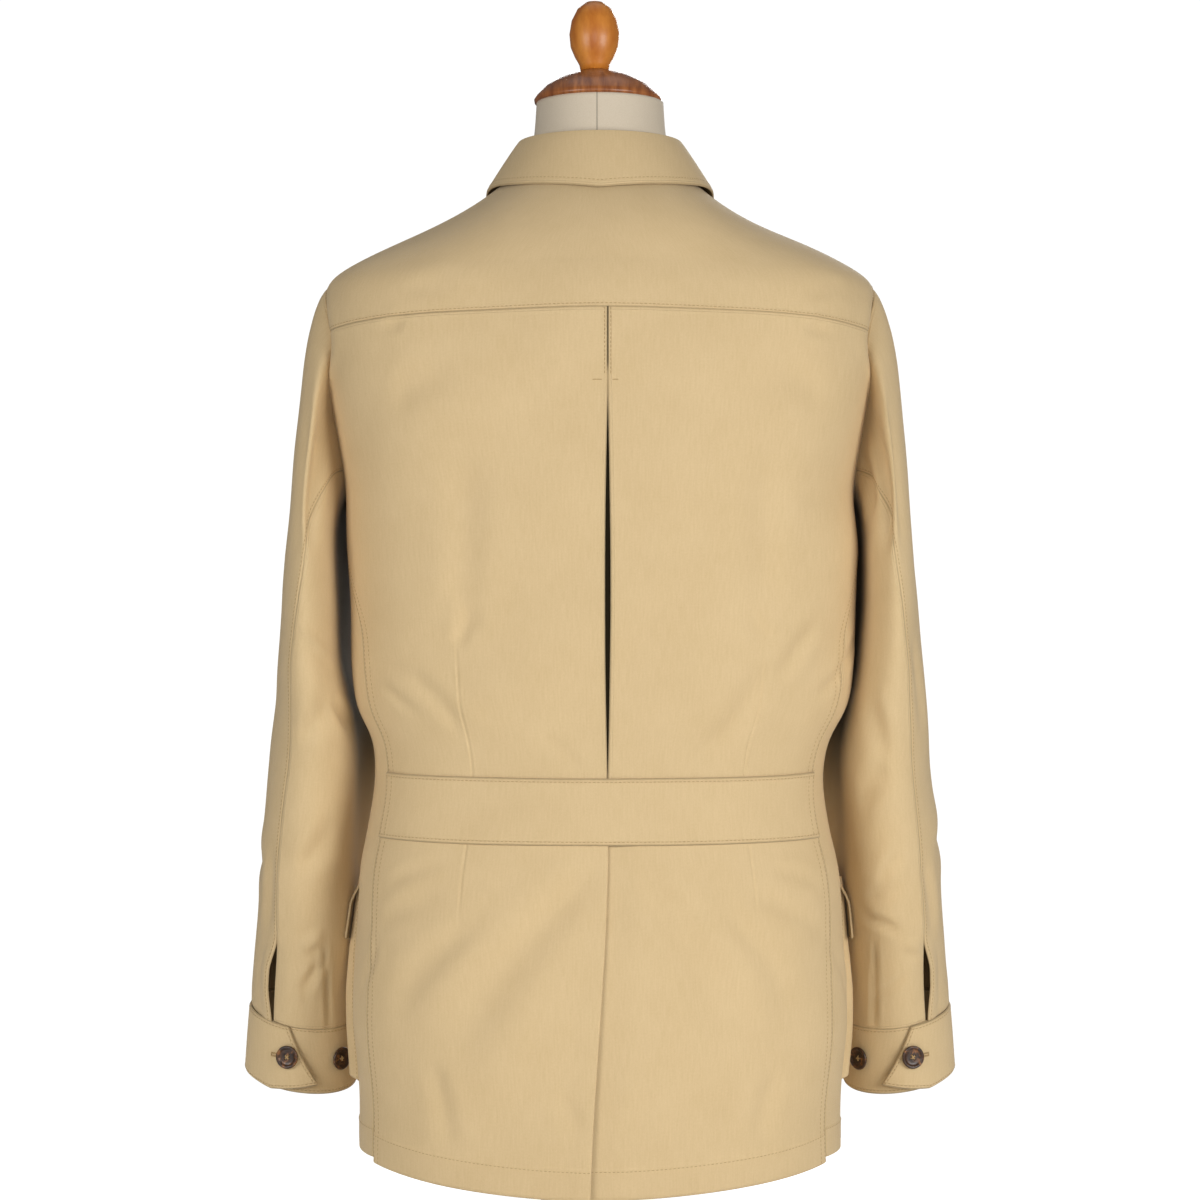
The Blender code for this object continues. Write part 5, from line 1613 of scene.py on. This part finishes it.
def turnedWood(name, light, dark, grain, roughness, along):
    # beech turned on a lathe, sanded and varnished: fine flecks and a clear gloss
    made, tree, shader = newMaterial(name, roughness)
    shader.inputs["Coat Weight"].default_value = 0.22
    shader.inputs["Coat Roughness"].default_value = 0.22
    at = addNode(tree, "ShaderNodeTexCoord").outputs["Object"]
    place = addNode(tree, "ShaderNodeMapping", {2: along, 3: grain}, Vector=at)
    flecks = addNode(tree, "ShaderNodeTexNoise", {2: 1.0, 3: 4.0, 4: 0.6}, Vector=place.outputs[0]).outputs[0]
    tree.links.new(colourRamp(tree, flecks, (0.32, dark), (0.68, light)), shader.inputs["Base Color"])
    return made


beech = turnedWood("beechVarnished", "DE8F38", "B8661C", (70.0, 70.0, 22.0), 0.42, (0.2, 0.0, 0.0))
stained = turnedWood("beechStained", "B5703C", "7A3F1C", (260.0, 34.0, 34.0), 0.36, (0.0, 0.5, 0.6))

# turned pieces: outlines by radius and height, from the top of the axis to its foot
capProfile = [
    (0, 0.9985), (0.0120, 0.9985), (0.0200, 0.9960), (0.0320, 0.9915), (0.0430, 0.9850), (0.0505, 0.9775),
    (0.0525, 0.9745), (0.0520, 0.9720), (0, 0.9720),
]
knobProfile = [
    (0, 1.0558), (0.0070, 1.0545), (0.0140, 1.0490), (0.0188, 1.0395), (0.0206, 1.0285), (0.0196, 1.0180),
    (0.0160, 1.0095), (0.0125, 1.0035), (0.0115, 0.9988), (0, 0.9988),
]
postProfile = [
    (0, 0.1646), (0.0260, 0.1646), (0.0260, 0.1580), (0.0165, 0.1500), (0.0165, 0.0420), (0.0230, 0.0330),
    (0.0230, 0.0265), (0, 0.0265),
]
baseProfile = [
    (0, 0.0262), (0.0300, 0.0262), (0.0450, 0.0225), (0.1480, 0.0170), (0.1640, 0.0130), (0.1700, 0.0070),
    (0.1700, 0), (0, 0),
]
woodRows = (
    ("neck_cap", capProfile, -0.0015, stained, "stained_beech"),
    ("neck_knob", knobProfile, -0.0045, beech, "beech"),
    ("stand_post", postProfile, 0.0, beech, "beech"),
    ("stand_base", baseProfile, 0.0, stained, "stained_beech"),
)
for node, profile, x, finish, slotName in woodRows:
    mesh = latheMesh(node + "_turned", profile, 96)
    mesh.transform(Matrix.Translation((x, 0, 0)))
    piece = showMesh(node + "_turned", mesh, finish)
    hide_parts(node)
print("dress form made")

# camera, floor and light
cameraData = bpy.data.cameras.new("camera")
cameraData.sensor_width, cameraData.lens = 36.0, 80.52
camera = bpy.data.objects.new("camera", cameraData)
camera.location, camera.rotation_euler = (0, -2.2, 0.565), (math.radians(90), 0, 0)
bpy.context.scene.collection.objects.link(camera)
bpy.context.scene.camera = camera

floorForm = {"half": 0.62, "behind": (0.12, 0.42), "round": (0.30, 0.60), "glow": 0.95}


def paleGlowingFloor():
    # it glows with a painted light of its own, with no lamp, brightening into the white backdrop towards its
    # edge and on the far side of the jacket
    made, tree, shader = newMaterial("paleGlowingFloor", 0.9)
    shader.inputs["Base Color"].default_value = (0.62, 0.62, 0.61, 1)
    shader.inputs["Emission Color"].default_value = (1, 1, 1, 1)
    at = addNode(tree, "ShaderNodeSeparateXYZ", _0=addNode(tree, "ShaderNodeTexCoord").outputs["Object"])
    behind = ranged(tree, at.outputs[1], *floorForm["behind"], 0.0, floorForm["glow"], "SMOOTHSTEP")
    flat = addNode(tree, "ShaderNodeCombineXYZ", _0=at.outputs[0], _1=at.outputs[1])
    away = addNode(tree, "ShaderNodeVectorMath", {"operation": "LENGTH"}, _0=flat.outputs[0]).outputs["Value"]
    edge = ranged(tree, away, *floorForm["round"], 0.0, floorForm["glow"], "SMOOTHSTEP")
    tree.links.new(calc(tree, "MAXIMUM", behind, edge), shader.inputs["Emission Strength"])
    return made


half = floorForm["half"]
floorCorners = np.array([(-half, -half, 0), (half, -half, 0), (half, half, 0), (-half, half, 0)])
floorMesh = meshOf("floor", floorCorners, np.array([[0, 1, 2, 3]]))
floorMesh.materials.append(paleGlowingFloor())
floor = bpy.data.objects.new("floor", floorMesh)
bpy.context.scene.collection.objects.link(floor)

studio = bpy.data.worlds.new("studio")
studio.use_nodes = True
bpy.context.scene.world = studio
bpy.context.scene.view_settings.view_transform = "Standard"
sky = studio.node_tree.nodes["Background"]
sky.inputs[0].default_value, sky.inputs[1].default_value = (1, 1, 1, 1), 0.13
# the backdrop shows white, and lights the jacket less than it shows
backdrop = addNode(studio.node_tree, "ShaderNodeBackground", {1: 1.05})
seen = addNode(studio.node_tree, "ShaderNodeLightPath").outputs["Is Camera Ray"]
backdrop.inputs[0].default_value = (1, 1, 1, 1)
both = addNode(studio.node_tree, "ShaderNodeMixShader", _0=seen, _1=sky.outputs[0], _2=backdrop.outputs[0])
studio.node_tree.links.new(both.outputs[0], studio.node_tree.nodes["World Output"].inputs["Surface"])
# each lamp's place, what it points at, its size and its watts
lampRows = (
    ("right", (1.30, -1.50, 0.74), (0, 0, 0.66), 0.9, 22.0),
    ("left", (-1.25, -1.50, 0.78), (0, 0, 0.70), 0.9, 14.5),
    ("middle", (0.1, -2.3, 0.90), (0, 0, 0.70), 0.9, 8.0),
    ("over", (0.0, 0.4, 3.0), (0, 0, 0.8), 1.6, 5.0),
    ("front", (0.5, 3.2, 1.6), (0, 0, 0.6), 1.6, 60.0),
)
for name, at, target, size, power in lampRows:
    lampData = bpy.data.lights.new(name, "AREA")
    lampData.shape, lampData.size, lampData.energy = "SQUARE", size, power
    lamp = bpy.data.objects.new(name, lampData)
    lamp.location = at
    lamp.rotation_euler = (Vector(target) - Vector(at)).to_track_quat("-Z", "Y").to_euler()
    bpy.context.scene.collection.objects.link(lamp)

for name, (flat, area) in madeSizes.items():
    print("sheet", name, flat, area)
